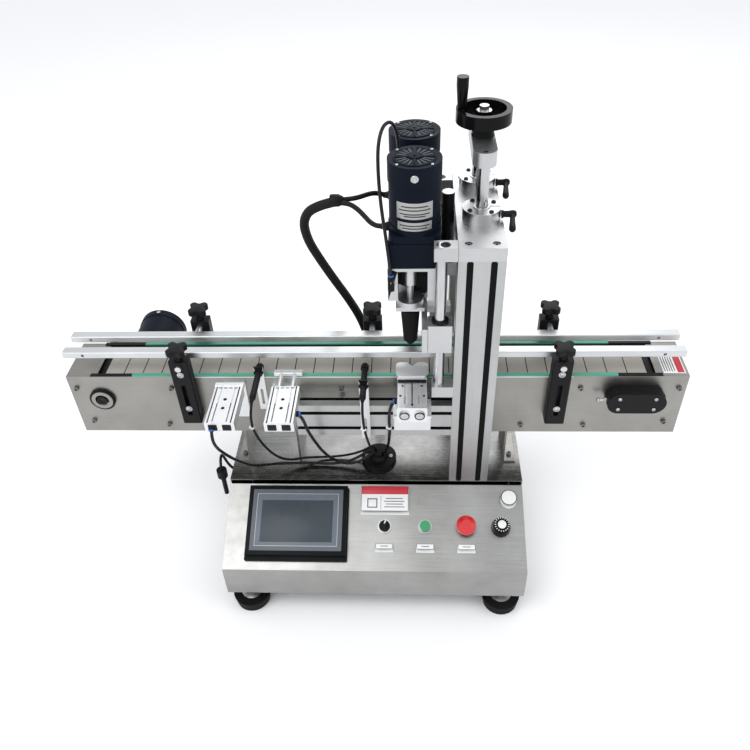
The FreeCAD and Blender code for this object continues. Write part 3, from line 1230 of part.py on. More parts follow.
def station_brackets():
    """The shelf brackets of the cylinders, the sensor stands and the two sensors."""
    front, profile_front = d.conveyor_front, d.conveyor_front - d.profile_deep
    stop_shelf = d.stop_top - d.stop_high
    pieces = [shelf_bracket(x, d.shelf_wide, front, front - d.shelf_long, d.shelf_bottom, stop_shelf)
              for x in (d.left_stop, d.right_stop - d.stop_shelf_in)]
    pieces.append(shelf_bracket(d.clamp_x, d.clamp_plate_wide, profile_front, profile_front - d.clamp_shelf,
                                d.clamp_plate_bottom, d.stop_top - d.clamp_high))
    pieces.append(sensor_stand(d.left_sensor, front, d.left_stand_bottom))
    pieces.append(sensor_stand(d.right_sensor, profile_front, d.right_stand_bottom))
    pieces.append(sensor(d.left_sensor, front))
    pieces.append(sensor(d.right_sensor, profile_front))
    return keep("station_brackets", group(*pieces))


def machine_screws():
    """The socket screws of the conveyor plates, the portal and the rail brackets."""
    pieces = []
    for x, z in plate_screws():
        for y, way in ((d.conveyor_front, "y"), (CONVEYOR_REAR, "-y")):
            pieces.append(screw(station(x, y, z), way, d.plate_screw))
    for x, z in end_screws():
        pieces.append(screw(station(x, d.conveyor_front, z), "y", d.plate))
    for x, y in portal_screws():
        long = d.top_thick - d.sink_deep
        pieces.append(screw(station(x, y, TOP_PLATE_Z + long), "-z", long))
    for side in (-1, 1):
        at = station(side * (d.support_far + d.support_foot / 2),
                     CONVEYOR_MIDDLE - d.support_depth / 2 + d.foot_screw_in,
                     d.support_thick)
        pieces.append(screw(at, "-z", d.support_thick))
    return keep("machine_screws", group(*pieces))


# ---------------------------------------------------------------- cords

def cord(name, diameter, points):
    """A tube along straight runs joined by tangent arcs."""
    route = [Vector(*point) for point in points]
    for end, inner in ((0, 1), (-1, -2)):
        route[end] += (route[inner] - route[end]).normalize() * CORD_GAP
    edges, start, radii = [], route[0], []
    for index in range(1, len(route) - 1):
        before, corner, after = route[index - 1:index + 2]
        back, ahead = before - corner, after - corner
        turn = math.pi - back.getAngle(ahead)
        reach = CORNER_SHARE * min(back.Length, ahead.Length)
        radii.append(reach / math.tan(turn / 2))
        first = corner + back.normalize() * reach
        last = corner + ahead.normalize() * reach
        inward = (back + ahead).normalize()
        middle = corner + inward * (radii[-1] / math.cos(turn / 2) - radii[-1])
        edges += [Part.LineSegment(start, first).toShape(), Part.Arc(first, middle, last).toShape()]
        start = last
    edges.append(Part.LineSegment(start, route[-1]).toShape())
    path = Part.Wire(edges)
    section = Part.Wire(Part.makeCircle(diameter / 2, route[0], route[1] - route[0]))
    solid = path.makePipeShell([section], True, False)
    piece = doc.addObject("Part::Feature", "Cord")
    piece.Shape = solid
    share = solid.Volume / (math.pi * diameter ** 2 / 4 * path.Length)
    print(f"{name}: length {path.Length:.0f} mm, volume/length {share:.4f},"
          f" least radius {min(radii):.0f} mm")
    return keep(name, piece)


# ---------------------------------------------------------------- the machine

def build():
    console()
    base_covers()
    leveling_feet()
    touch_screen()
    panel_fittings()
    controls()
    control_gear()
    cord_fittings()
    conveyor_frame()
    conveyor_supports()
    belt_chain()
    drum("idler_drum", d.shaft_x)
    drum("drive_drum", -d.shaft_x)
    wear_strips()
    conveyor_covers()
    conveyor_gearmotor()
    rail_brackets()
    guide_rail("front_rail", d.front_rail_y, FRONT_BRACKETS, -1)
    guide_rail("rear_rail", d.rear_rail_y, REAR_BRACKETS, 1)
    for number, x in enumerate(FRONT_BRACKETS, start=1):
        star_knob(f"front_star_knob_{number}", x, -1)
    for number, x in enumerate(REAR_BRACKETS, start=1):
        star_knob(f"rear_star_knob_{number}", x, 1)
    frame_profiles()
    top_plate()
    shaft_guides()
    for name, y in zip(("front_clamp_lever", "rear_clamp_lever"), flange_y()):
        clamp_lever(name, y)
    lift_bridge()
    lift_cylinder()
    handwheel()
    handwheel_grip()
    head_carriage()
    gripper_cylinder()
    spindle_motor("front_spindle_motor", d.front_motor_y)
    spindle_motor("rear_spindle_motor", d.rear_motor_y)
    front_frame()
    rear_frame()
    capping_roller("front_roller", d.front_spindle, d.tongue_z, d.gearbox_z - d.control_gap, True)
    capping_roller("rear_roller", d.rear_spindle, d.arm_z, d.arm_z + d.arm_high + 2, False)
    station_cylinders()
    stop_bar("left_stop_bar", d.left_stop, NOTHING)
    stop_bar("right_stop_bar", d.right_stop, d.stop_stroke)
    clamp_jaw()
    station_brackets()
    machine_screws()
    for name, (diameter, points) in CORDS.items():
        cord(name, diameter, points)


def check():
    failed = [piece.Name for piece in doc.Objects if {"Invalid", "Error"} & set(piece.State)]
    assert not failed, f"these objects failed: {failed}"
    for name, piece in nodes.items():
        assert not piece.Shape.isNull() and piece.Shape.isValid(), f"{name} is not a valid shape"
        assert piece.Shape.Solids, f"{name} has no solid"


def write_parts():
    os.makedirs("parts", exist_ok=True)
    for name, piece in nodes.items():
        piece.Shape.exportStep(os.path.join("parts", f"{name}.step"))


build()
doc.recompute()
check()
write_parts()
print(f"{len(nodes)} nodes written")
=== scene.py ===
import math
import bpy
import bmesh
from mathutils import Matrix, Vector


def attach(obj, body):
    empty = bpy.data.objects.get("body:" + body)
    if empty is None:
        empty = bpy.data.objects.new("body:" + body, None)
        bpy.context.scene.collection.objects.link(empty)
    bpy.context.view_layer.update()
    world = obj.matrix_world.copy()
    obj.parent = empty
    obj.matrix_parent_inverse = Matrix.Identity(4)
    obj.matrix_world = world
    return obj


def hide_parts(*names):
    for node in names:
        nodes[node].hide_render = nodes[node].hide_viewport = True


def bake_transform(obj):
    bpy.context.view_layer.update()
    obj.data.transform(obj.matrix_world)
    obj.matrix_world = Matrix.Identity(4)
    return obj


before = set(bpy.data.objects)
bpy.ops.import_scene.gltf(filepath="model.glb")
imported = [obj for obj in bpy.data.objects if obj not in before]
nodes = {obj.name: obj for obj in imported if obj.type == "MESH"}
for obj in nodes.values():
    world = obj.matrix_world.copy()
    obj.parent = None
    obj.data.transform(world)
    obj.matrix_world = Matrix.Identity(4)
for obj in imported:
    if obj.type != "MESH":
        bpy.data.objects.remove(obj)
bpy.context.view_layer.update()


# ---------------------------------------------------------------- shader groups

def node(tree, kind, **settings):
    made = tree.nodes.new(kind)
    for name, value in settings.items():
        setattr(made, name, value)
    return made


def group(name, inputs, outputs):
    """A shader group with its sockets; returns its tree, its input node and its output node."""
    tree = bpy.data.node_groups.new(name, "ShaderNodeTree")
    for label, kind, start in inputs:
        socket = tree.interface.new_socket(name=label, in_out="INPUT", socket_type="NodeSocket" + kind)
        if start is not None:
            socket.default_value = start
    for label, kind in outputs:
        tree.interface.new_socket(name=label, in_out="OUTPUT", socket_type="NodeSocket" + kind)
    return tree, node(tree, "NodeGroupInput"), node(tree, "NodeGroupOutput")


def noise(tree, place, scale, detail=3.0, rough=0.55):
    made = node(tree, "ShaderNodeTexNoise")
    made.inputs["Detail"].default_value = detail
    made.inputs["Roughness"].default_value = rough
    made.inputs["Scale"].default_value = scale
    tree.links.new(place, made.inputs["Vector"])
    return made.outputs["Fac"]


def span(tree, value, low, high, to_low, to_high):
    made = node(tree, "ShaderNodeMapRange")
    for label, number in (("From Min", low), ("From Max", high), ("To Min", to_low), ("To Max", to_high)):
        if isinstance(number, (int, float)):
            made.inputs[label].default_value = number
        else:
            tree.links.new(number, made.inputs[label])
    tree.links.new(value, made.inputs["Value"])
    return made.outputs["Result"]


def blend_colour(tree, share, first, second, mode="MIX"):
    made = node(tree, "ShaderNodeMix", data_type="RGBA", blend_type=mode)
    for index, item in ((0, share), (6, first), (7, second)):
        if isinstance(item, (int, float)):
            made.inputs[index].default_value = item
        elif isinstance(item, tuple):
            made.inputs[index].default_value = (*item, 1.0) if len(item) == 3 else item
        else:
            tree.links.new(item, made.inputs[index])
    return made.outputs[2]


def sums(tree, kind, first, second):
    made = node(tree, "ShaderNodeMath", operation=kind)
    for index, item in ((0, first), (1, second)):
        if isinstance(item, (int, float)):
            made.inputs[index].default_value = item
        else:
            tree.links.new(item, made.inputs[index])
    return made.outputs[0]


def stretched(tree, place, amounts):
    made = node(tree, "ShaderNodeVectorMath", operation="MULTIPLY")
    tree.links.new(place, made.inputs[0])
    if isinstance(amounts, tuple):
        made.inputs[1].default_value = amounts
    else:
        tree.links.new(amounts, made.inputs[1])
    return made.outputs[0]


def brushed_group():
    """Fine scratches along one way, slow cloudy changes, and the tiny round of every edge."""
    tree, given, out = group("Brushed grain", [
        ("Place", "Vector", None), ("Stretch", "Vector", (20.0, 900.0, 900.0)),
        ("Light", "Color", (0.7, 0.7, 0.7, 1)),
        ("Dark", "Color", (0.5, 0.5, 0.5, 1)), ("Smooth", "Float", 0.25), ("Rough", "Float", 0.45),
        ("Depth", "Float", 0.1), ("Edge", "Float", 0.0006)],
        [("Color", "Color"), ("Roughness", "Float"), ("Normal", "Vector")])
    grain = noise(tree, stretched(tree, given.outputs["Place"], given.outputs["Stretch"]), 1.0, 4.0, 0.6)
    cloud = noise(tree, given.outputs["Place"], 9.0, 3.0)
    spots = noise(tree, given.outputs["Place"], 60.0, 2.0)
    share = sums(tree, "ADD", span(tree, grain, 0.3, 0.7, 0.0, 0.55),
                 span(tree, cloud, 0.35, 0.65, 0.0, 0.45))
    colour = blend_colour(tree, share, given.outputs["Dark"], given.outputs["Light"])
    level = sums(tree, "ADD", sums(tree, "MULTIPLY", grain, 0.6), sums(tree, "MULTIPLY", spots, 0.4))
    rough = span(tree, level, 0.3, 0.7, given.outputs["Smooth"], given.outputs["Rough"])
    round_edge = node(tree, "ShaderNodeBevel", samples=4)
    tree.links.new(given.outputs["Edge"], round_edge.inputs["Radius"])
    bump = node(tree, "ShaderNodeBump")
    bump.inputs["Distance"].default_value = 0.0004
    tree.links.new(given.outputs["Depth"], bump.inputs["Strength"])
    tree.links.new(grain, bump.inputs["Height"])
    tree.links.new(round_edge.outputs["Normal"], bump.inputs["Normal"])
    tree.links.new(colour, out.inputs["Color"])
    tree.links.new(rough, out.inputs["Roughness"])
    tree.links.new(bump.outputs["Normal"], out.inputs["Normal"])
    return tree


def moulded_group():
    """The fine texture of moulded, painted or rubber parts, with edges a little lighter from handling."""
    tree, given, out = group("Moulded skin", [
        ("Place", "Vector", None), ("Colour", "Color", (0.03, 0.03, 0.03, 1)),
        ("Edge colour", "Color", (0.1, 0.1, 0.1, 1)),
        ("Grain", "Float", 900.0), ("Smooth", "Float", 0.4), ("Rough", "Float", 0.6),
        ("Depth", "Float", 0.15),
        ("Edge", "Float", 0.0005), ("Wear", "Float", 0.4)],
        [("Color", "Color"), ("Roughness", "Float"), ("Normal", "Vector")])
    fine = node(tree, "ShaderNodeTexNoise")
    fine.inputs["Detail"].default_value = 2.0
    tree.links.new(given.outputs["Grain"], fine.inputs["Scale"])
    tree.links.new(given.outputs["Place"], fine.inputs["Vector"])
    cloud = noise(tree, given.outputs["Place"], 14.0, 4.0)
    round_edge = node(tree, "ShaderNodeBevel", samples=4)
    tree.links.new(given.outputs["Edge"], round_edge.inputs["Radius"])
    geometry = node(tree, "ShaderNodeNewGeometry")
    facing = node(tree, "ShaderNodeVectorMath", operation="DOT_PRODUCT")
    tree.links.new(round_edge.outputs["Normal"], facing.inputs[0])
    tree.links.new(geometry.outputs["True Normal"], facing.inputs[1])
    rim = span(tree, facing.outputs["Value"], 0.97, 0.75, 0.0, 1.0)
    worn = sums(tree, "MULTIPLY", sums(tree, "MULTIPLY", rim, given.outputs["Wear"]),
                span(tree, cloud, 0.35, 0.65, 0.3, 1.0))
    base = blend_colour(tree, span(tree, cloud, 0.3, 0.7, 0.0, 0.18), given.outputs["Colour"],
                        given.outputs["Edge colour"])
    colour = blend_colour(tree, worn, base, given.outputs["Edge colour"])
    rough = span(tree, cloud, 0.3, 0.7, given.outputs["Smooth"], given.outputs["Rough"])
    bump = node(tree, "ShaderNodeBump")
    bump.inputs["Distance"].default_value = 0.0003
    tree.links.new(given.outputs["Depth"], bump.inputs["Strength"])
    tree.links.new(fine.outputs["Fac"], bump.inputs["Height"])
    tree.links.new(round_edge.outputs["Normal"], bump.inputs["Normal"])
    tree.links.new(colour, out.inputs["Color"])
    tree.links.new(rough, out.inputs["Roughness"])
    tree.links.new(bump.outputs["Normal"], out.inputs["Normal"])
    return tree


BRUSHED, MOULDED = brushed_group(), moulded_group()


def finish_of(name, kind, values, metallic=0.0, coat=0.0, coat_rough=0.1, shine=0.5):
    """A material: one shader, fed by the group."""
    made = bpy.data.materials.new(name)
    made.use_nodes = True
    tree = made.node_tree
    shader = tree.nodes["Principled BSDF"]
    place = node(tree, "ShaderNodeTexCoord").outputs["Object"]
    skin = node(tree, "ShaderNodeGroup", node_tree=kind)
    tree.links.new(place, skin.inputs["Place"])
    for label, value in values.items():
        paint = isinstance(value, tuple) and label != "Stretch"
        skin.inputs[label].default_value = (*value, 1.0) if paint else value
    tree.links.new(skin.outputs["Color"], shader.inputs["Base Color"])
    tree.links.new(skin.outputs["Roughness"], shader.inputs["Roughness"])
    tree.links.new(skin.outputs["Normal"], shader.inputs["Normal"])
    shader.inputs["Metallic"].default_value = metallic
    shader.inputs["Coat Weight"].default_value = coat
    shader.inputs["Coat Roughness"].default_value = coat_rough
    shader.inputs["Specular IOR Level"].default_value = shine
    return made


def metal(name, light, dark, stretch, smooth, rough, depth=0.1, edge=0.0006):
    return finish_of(name, BRUSHED, {"Light": light, "Dark": dark, "Stretch": stretch, "Smooth": smooth,
                                     "Rough": rough, "Depth": depth, "Edge": edge}, metallic=1.0)


def moulded(name, colour, edge_colour, smooth, rough, grain=900.0, depth=0.15, wear=0.4, edge=0.0005,
            **more):
    return finish_of(name, MOULDED, {"Colour": colour, "Edge colour": edge_colour, "Smooth": smooth,
                                     "Rough": rough,
                                     "Grain": grain, "Depth": depth, "Wear": wear, "Edge": edge}, **more)


ALONG_X, ALONG_Z = (12.0, 1400.0, 1400.0), (1400.0, 1400.0, 12.0)
CABINET_STEEL = metal("Brushed cabinet steel", (0.44, 0.44, 0.425), (0.27, 0.27, 0.258), ALONG_X, 0.26,
                      0.42)
# The top steel's darker colour is painted shade from the conveyor above; its finer, smoother grain is its
# own.
SHADED_TOP_STEEL = metal("Brushed top steel with painted shade", (0.32, 0.32, 0.31), (0.13, 0.13, 0.128), (6.0, 700.0, 700.0),
                  0.18, 0.36)
PLATE_STEEL = metal("Warm conveyor plate steel", (0.36, 0.35, 0.325), (0.26, 0.25, 0.232), ALONG_X, 0.28,
                    0.44)
BRIGHT_STEEL = metal("Ground shaft steel", (0.60, 0.60, 0.605), (0.44, 0.44, 0.445), (300.0, 300.0, 40.0),
                     0.12, 0.24, 0.03)
TURNED_STEEL = metal("Turned fitting steel", (0.66, 0.66, 0.66), (0.45, 0.45, 0.45), (900.0, 900.0, 900.0),
                     0.24, 0.4, 0.05)
ANODISED = metal("Clear anodised profile", (0.54, 0.545, 0.54), (0.42, 0.425, 0.42), ALONG_Z, 0.30, 0.46,
                 0.06)
PALE_METAL = metal("Pale anodised aluminium", (0.88, 0.885, 0.89), (0.76, 0.765, 0.77),
                   (500.0, 500.0, 500.0), 0.36, 0.52, 0.05)
MILLED = metal("Milled light aluminium", (0.62, 0.625, 0.625), (0.50, 0.505, 0.51), (500.0, 500.0, 500.0),
               0.34, 0.5, 0.05)
RAIL_METAL = metal("Bright rail aluminium", (0.70, 0.71, 0.715), (0.58, 0.59, 0.595), ALONG_X, 0.30, 0.44,
                   0.05)
SCREW_STEEL = metal("Dark socket screw steel", (0.30, 0.30, 0.30), (0.16, 0.16, 0.16),
                    (900.0, 900.0, 900.0), 0.3, 0.5, 0.05)
BLACK_PLASTIC = moulded("Black moulded plastic", (0.004, 0.004, 0.0045), (0.03, 0.03, 0.032), 0.36, 0.54,
                        shine=0.16)
GLOSSY_BLACK = moulded("Glossy black bakelite", (0.003, 0.003, 0.0035), (0.012, 0.012, 0.012), 0.12, 0.24,
                       300.0, 0.03,
                       0.2, shine=0.12)
RUBBER = moulded("Black rubber", (0.006, 0.006, 0.0065), (0.025, 0.025, 0.025), 0.6, 0.8, 700.0, 0.3,
                 shine=0.12)
SLAT = moulded("Pale belt slat plastic", (0.36, 0.335, 0.30), (0.44, 0.41, 0.37), 0.34, 0.5, 500.0, 0.12,
               shine=0.3)
NAVY = moulded("Dark navy motor enamel", (0.002, 0.0045, 0.011), (0.010, 0.016, 0.028), 0.44, 0.6, 1200.0,
               0.2, shine=0.09)
GREEN = moulded("Green button plastic", (0.02, 0.30, 0.10), (0.06, 0.45, 0.20), 0.14, 0.26, 300.0, 0.03,
                coat=0.4)
RED = moulded("Red mushroom plastic", (0.62, 0.015, 0.02), (0.75, 0.06, 0.05), 0.12, 0.24, 300.0, 0.03,
              coat=0.5)
WHITE = moulded("White label plastic", (0.80, 0.80, 0.79), (0.88, 0.88, 0.87), 0.35, 0.5, 600.0, 0.05)
GREEN_STRIP = moulded("Green edge strip", (0.06, 0.33, 0.22), (0.20, 0.50, 0.36), 0.3, 0.45, 500.0, 0.06)
TUBE_BLACK = moulded("Black air tube", (0.005, 0.005, 0.006), (0.02, 0.02, 0.022), 0.2, 0.34, 300.0, 0.02,
                     0.0, shine=0.3)
CABLE_BLACK = moulded("Black cable jacket", (0.006, 0.006, 0.0065), (0.03, 0.03, 0.03), 0.42, 0.6, 1500.0,
                      0.2, 0.0, shine=0.16)
TUBE_BLUE = moulded("Blue release ring plastic", (0.01, 0.10, 0.42), (0.05, 0.2, 0.6), 0.2, 0.35, 300.0,
                    0.03)
SCREEN_GREY = moulded("Grey blue unlit screen", (0.145, 0.17, 0.2), (0.165, 0.19, 0.22), 0.22, 0.3, 200.0,
                      0.0, 0.0, shine=0.2)
BEZEL = moulded("Dark grey screen bezel", (0.007, 0.008, 0.009), (0.05, 0.05, 0.055), 0.38, 0.52,
                shine=0.05)
GREY_VANE = moulded("Grey fan vanes", (0.06, 0.07, 0.08), (0.2, 0.21, 0.23), 0.35, 0.5, shine=0.2)
NAMEPLATE = metal("Blank motor nameplate", (0.56, 0.56, 0.55), (0.38, 0.38, 0.37), ALONG_X, 0.35, 0.5, 0.04)
BLACK_SLOT_STRIP = moulded("Black strip along the slot", (0.003, 0.003, 0.003), (0.015, 0.015, 0.015), 0.5, 0.7, shine=0.1)
SCREW_BLACK = metal("Blackened socket screw", (0.05, 0.05, 0.05), (0.02, 0.02, 0.02), (900.0, 900.0, 900.0),
                    0.3, 0.5, 0.05)
SCREEN_RIM = moulded("Black screen rim", (0.004, 0.004, 0.005), (0.02, 0.02, 0.022), 0.36, 0.5, shine=0.12)
SCREEN_FRAME = moulded("Grey screen frame", (0.12, 0.135, 0.15), (0.2, 0.22, 0.24), 0.34, 0.46, shine=0.2)
BRIGHT_LINE = moulded("Pale line round the glass", (0.45, 0.47, 0.50), (0.55, 0.57, 0.6), 0.3, 0.42)
SCREEN_DARK = moulded("Dark sleeping picture", (0.055, 0.068, 0.08), (0.065, 0.08, 0.092), 0.24, 0.32,
                      200.0, 0.0, 0.0, shine=0.2)
PRINT_GREY = moulded("Dark grey print", (0.03, 0.03, 0.032), (0.06, 0.06, 0.06), 0.45, 0.6)
RED_BAND = moulded("Red printed band", (0.50, 0.015, 0.03), (0.6, 0.04, 0.05), 0.35, 0.5)
# Near-black painted shade that stands in for the shade inside holes, slots, grooves, wells and the gaps
# between parts.
RECESS_SHADE_PAINT = moulded("Painted shade in recesses", (0.004, 0.004, 0.004), (0.01, 0.01, 0.01), 0.7, 0.9)


# ---------------------------------------------------------------- finishes on the frame's own nodes

def dress(name, coat, *patches):
    """One finish all over a node, and others on the faces whose middle lies in a box (in millimetres)."""
    mesh = nodes[name].data
    mesh.materials.clear()
    for finish in (coat, *(patch[0] for patch in patches)):
        mesh.materials.append(finish)
    for face in mesh.polygons:
        middle = [value * 1000 for value in face.center]
        for number, (_, low, high) in enumerate(patches, start=1):
            if all(a <= m <= b for a, m, b in zip(low, middle, high)):
                face.material_index = number


def everything(low=None, high=None):
    """A patch box that is open on the sides left as None."""
    low, high = low or (None,) * 3, high or (None,) * 3
    return (tuple(-2000 if v is None else v for v in low), tuple(2000 if v is None else v for v in high))


# The base top gets the steel darkened with painted shade.
dress("base_cabinet", CABINET_STEEL, (SHADED_TOP_STEEL, *everything((None, -110, 221.6))))
dress("base_covers", CABINET_STEEL)
dress("leveling_feet", RUBBER, (TURNED_STEEL, *everything((None, None, 26.2))))
dress("touch_screen", BEZEL, (SCREEN_GREY, (-252.5, -225, 100), (-67.5, -106, 230)))
dress("panel_fittings", TURNED_STEEL, (WHITE, (0, -217, 150), (210, -202, 158)),
      (WHITE, (-30, -146, 182), (75, -91, 209)),
      (WHITE, (263, -132, 189), (299, -98, 206)))
dress("control_gear", BLACK_PLASTIC)
dress("cord_fittings", BLACK_PLASTIC)
dress("selector_knob", BLACK_PLASTIC)
dress("start_button", GREEN)
dress("stop_button", RED)
dress("speed_dial", GLOSSY_BLACK)
dress("conveyor_frame", PLATE_STEEL, (BLACK_PLASTIC, (-580, -60, 380), (-520, -40.2, 450)),
      (BLACK_PLASTIC, *everything((None, 68.2, None))), (BLACK_PLASTIC, (520, -60, 380), (580, -40.2, 450)))
dress("conveyor_supports", PLATE_STEEL)
dress("belt_chain", SLAT)
dress("wear_strips", BLACK_PLASTIC, (GREEN_STRIP, (-475.5, -41, 475), (475.5, -31, 480)),
      (GREEN_STRIP, (-475.5, 59, 475), (475.5, 69, 480)))
dress("conveyor_covers", BLACK_PLASTIC, (PLATE_STEEL, *everything((None, None, None), (-547, 65, None))),
      (PLATE_STEEL, (547.5, -36.5, 320), (611, 65, 480)))
dress("conveyor_gearmotor", NAVY)
dress("drive_drum", BLACK_PLASTIC)
dress("idler_drum", BLACK_PLASTIC)
dress("rail_brackets", BLACK_PLASTIC)
dress("front_rail", RAIL_METAL)
dress("rear_rail", RAIL_METAL)
# The slot interiors of the profiles get the near-black painted shade.
dress("frame_profiles", ANODISED, (RECESS_SHADE_PAINT, (157.4, -81.6, 224), (236.6, -42.4, 759)),
      (RECESS_SHADE_PAINT, (157.4, 156.4, 224), (236.6, 195.6, 759)),
      (RECESS_SHADE_PAINT, (-149, -79.6, 355.4), (156, -40.4, 434.6)))
dress("top_plate", MILLED)
dress("shaft_guides", BRIGHT_STEEL, (TURNED_STEEL, *everything((165, None, None))))
dress("station_cylinders", PALE_METAL)
dress("station_brackets", PALE_METAL, (BLACK_PLASTIC, *everything((None, None, 480))))
dress("machine_screws", SCREW_STEEL)
dress("left_stop_bar", PALE_METAL)
dress("right_stop_bar", PALE_METAL)
dress("clamp_jaw", PALE_METAL)
dress("handwheel", GLOSSY_BLACK, (TURNED_STEEL, *everything((None, None, None), (None, None, 909.5))),
      (TURNED_STEEL, (191, 72, 949), (209, 90, 960)))
dress("handwheel_grip", GLOSSY_BLACK)
dress("lift_bridge", MILLED, (BRIGHT_STEEL, (190, -2000, 688.5), (210, 2000, 883.5)))
dress("lift_cylinder", BLACK_PLASTIC, (TURNED_STEEL, *everything((None, None, 808))))
dress("head_carriage", MILLED, (BLACK_PLASTIC, (113, -90, 629.2), (147, 200, 633.5)))
dress("gripper_cylinder", MILLED)
dress("front_spindle_motor", NAVY)
dress("rear_spindle_motor", NAVY)
# A recess in the front frame gets near-black painted shade; beside it is a black plastic piece.
dress("front_frame", MILLED, (RECESS_SHADE_PAINT, (51, -49, 653), (112, 9, 722)),
      (BLACK_PLASTIC, (37, -66, 689), (51, -50.5, 717)))
dress("rear_frame", MILLED)
dress("front_roller", RUBBER, (TURNED_STEEL, *everything((None, None, 629.5))))
dress("rear_roller", RUBBER, (TURNED_STEEL, *everything((None, None, 625.5))))


# ---------------------------------------------------------------- cords

def route_curve(name, points, diameter):
    """A smooth round cord with the route's points, given in millimetres, as its control points."""
    curve = bpy.data.curves.new(name, "CURVE")
    curve.dimensions = "3D"
    spline = curve.splines.new("NURBS")
    spline.points.add(len(points) - 1)
    for point, place in zip(spline.points, points):
        point.co = (*(value / 1000 for value in place), 1.0)
    spline.order_u = 3
    spline.use_endpoint_u = True
    spline.resolution_u = 10
    curve.bevel_depth = diameter / 2
    curve.bevel_resolution = 5
    curve.use_fill_caps = True
    made = bpy.data.objects.new(name, curve)
    bpy.context.scene.collection.objects.link(made)
    return made


def line_of(made):
    """The points that a cord's line runs through."""
    bare = made.copy()
    bare.data = made.data.copy()
    bare.data.bevel_depth = 0.0
    bare.data.use_fill_caps = False
    bpy.context.scene.collection.objects.link(bare)
    bpy.context.view_layer.update()
    mesh = bpy.data.meshes.new_from_object(bare)
    line = [tuple(vertex.co) for vertex in mesh.vertices]
    bpy.data.objects.remove(bare)
    return line


def lay_cord(name, diameter, finish, body, points, bends=None):
    made = route_curve(name + "_run", points, diameter)
    path = line_of(made) if bends else None
    if bends:
        bpy.context.view_layer.update()
        mesh = bpy.data.meshes.new_from_object(made)
        curve_name = made.name
        bpy.data.objects.remove(made)
        made = bpy.data.objects.new(curve_name, mesh)
        bpy.context.scene.collection.objects.link(made)
        for face in mesh.polygons:
            face.use_smooth = True
    made.data.materials.clear()
    made.data.materials.append(finish)
    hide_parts(name)
    if bends:
        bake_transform(made)
    else:
        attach(made, body)
    return made


lay_cord("main_hose", 0.018, CABLE_BLACK, "base",
         [(12, 150, 224), (10, 151, 262), (3, 150, 318), (-6, 147, 376), (-16, 141, 436), (-29, 134, 492),
          (-52, 128, 546), (-78, 119, 600), (-100, 110, 650), (-119, 100, 700), (-122, 86, 750),
          (-97, 73, 785),
          (-48, 64, 799)], bends=("base", "lift", (0, 0.15, 0.26), (0, 0.15, 0.79)))
lay_cord("rear_motor_lead", 0.009, CABLE_BLACK, "lift",
         [(-45.4, 68, 799), (-31, 68.3, 799.4), (-14, 72, 801), (2, 84, 801), (14, 98, 796),
          (26, 105.8, 789),
          (39.6, 106, 787.6)],
         bends=("lift", "head", (-0.045, 0.08, 0.8), (0.037, 0.08, 0.8)))
lay_cord("front_motor_lead", 0.009, CABLE_BLACK, "lift",
         [(-45.4, 59, 797), (-32, 58, 796.6), (-16, 48, 791), (-2, 30, 785), (10, 9, 783), (24, -5.4, 785),
          (39.6, -6, 786)],
         bends=("lift", "head", (-0.045, 0.0, 0.8), (0.037, 0.0, 0.8)))
lay_cord("head_air_tube", 0.006, TUBE_BLACK, "head",
         [(44, -59, 716), (42, -59, 745), (37, -52, 790), (30, -38, 838), (26, -20, 886), (26, -3, 928),
          (33, 14, 952), (45, 30, 956), (54, 42, 940), (58, 48, 912), (59, 50, 876), (62, 50, 830),
          (60, 50, 780), (63, 50, 740), (63.5, 50, 719)])
lay_cord("left_stop_tube", 0.006, TUBE_BLACK, "base",
         [(-285, -185, 479), (-285, -196, 466), (-283, -196, 440), (-274, -178, 400), (-262, -150, 352),
          (-248, -118, 305), (-230, -82, 268), (-205, -54, 243), (-172, -42, 231), (-136, -38, 228),
          (-100, -40, 227), (-64, -39, 231), (-38, -33, 240), (-20, -26, 249), (-9, -21, 249),
          (-4, -19.2, 240.8)])
lay_cord("right_stop_tube", 0.006, TUBE_BLACK, "base",
         [(-133, -150, 479), (-126, -152, 476), (-121, -150, 460), (-118, -140, 425), (-112, -120, 380),
          (-104, -99, 332), (-92, -78, 288), (-74, -62, 256), (-52, -53, 241), (-30, -46, 244),
          (-12, -39, 254),
          (-2, -32, 252), (1, -28, 240)])
lay_cord("left_sensor_cable", 0.005, CABLE_BLACK, "base",
         [(-219, -115, 490), (-219, -132, 488), (-221, -146, 470), (-222, -144, 435), (-218, -128, 388),
          (-210, -108, 340), (-198, -84, 293), (-180, -56, 255), (-154, -30, 236), (-120, -20, 227),
          (-88, -18, 227), (-56, -16, 231), (-30, -14, 240), (-13, -12, 250), (-2, -11, 249),
          (1, -11, 240)])
lay_cord("right_sensor_cable", 0.005, CABLE_BLACK, "base",
         [(-12, -115, 490), (-12, -132, 488), (-12, -143, 470), (-11, -138, 432), (-8, -120, 384),
          (-4, -97, 336),
          (1, -73, 294), (6, -50, 262), (9, -35, 251), (9, -29, 240)])
lay_cord("clamp_tube", 0.006, TUBE_BLACK, "base",
         [(52, -112, 476), (44, -113, 474), (38, -117, 460), (36, -117, 438), (36, -102, 392),
          (33, -80, 340),
          (28, -58, 294), (22, -38, 262), (17, -26, 250), (16, -22, 240)])
lay_cord("side_lead", 0.006, CABLE_BLACK, "base",
         [(-312.5, -20, 186), (-321, -20, 189), (-328, -21, 202), (-332, -25, 222), (-333, -32, 243),
          (-332, -43, 257), (-331, -56, 259), (-330, -66, 251), (-330, -69, 238)])


# ---------------------------------------------------------------- making pieces

def deselect():
    if bpy.context.object and bpy.context.object.mode != "OBJECT":
        bpy.ops.object.mode_set(mode="OBJECT")
    bpy.ops.object.select_all(action="DESELECT")


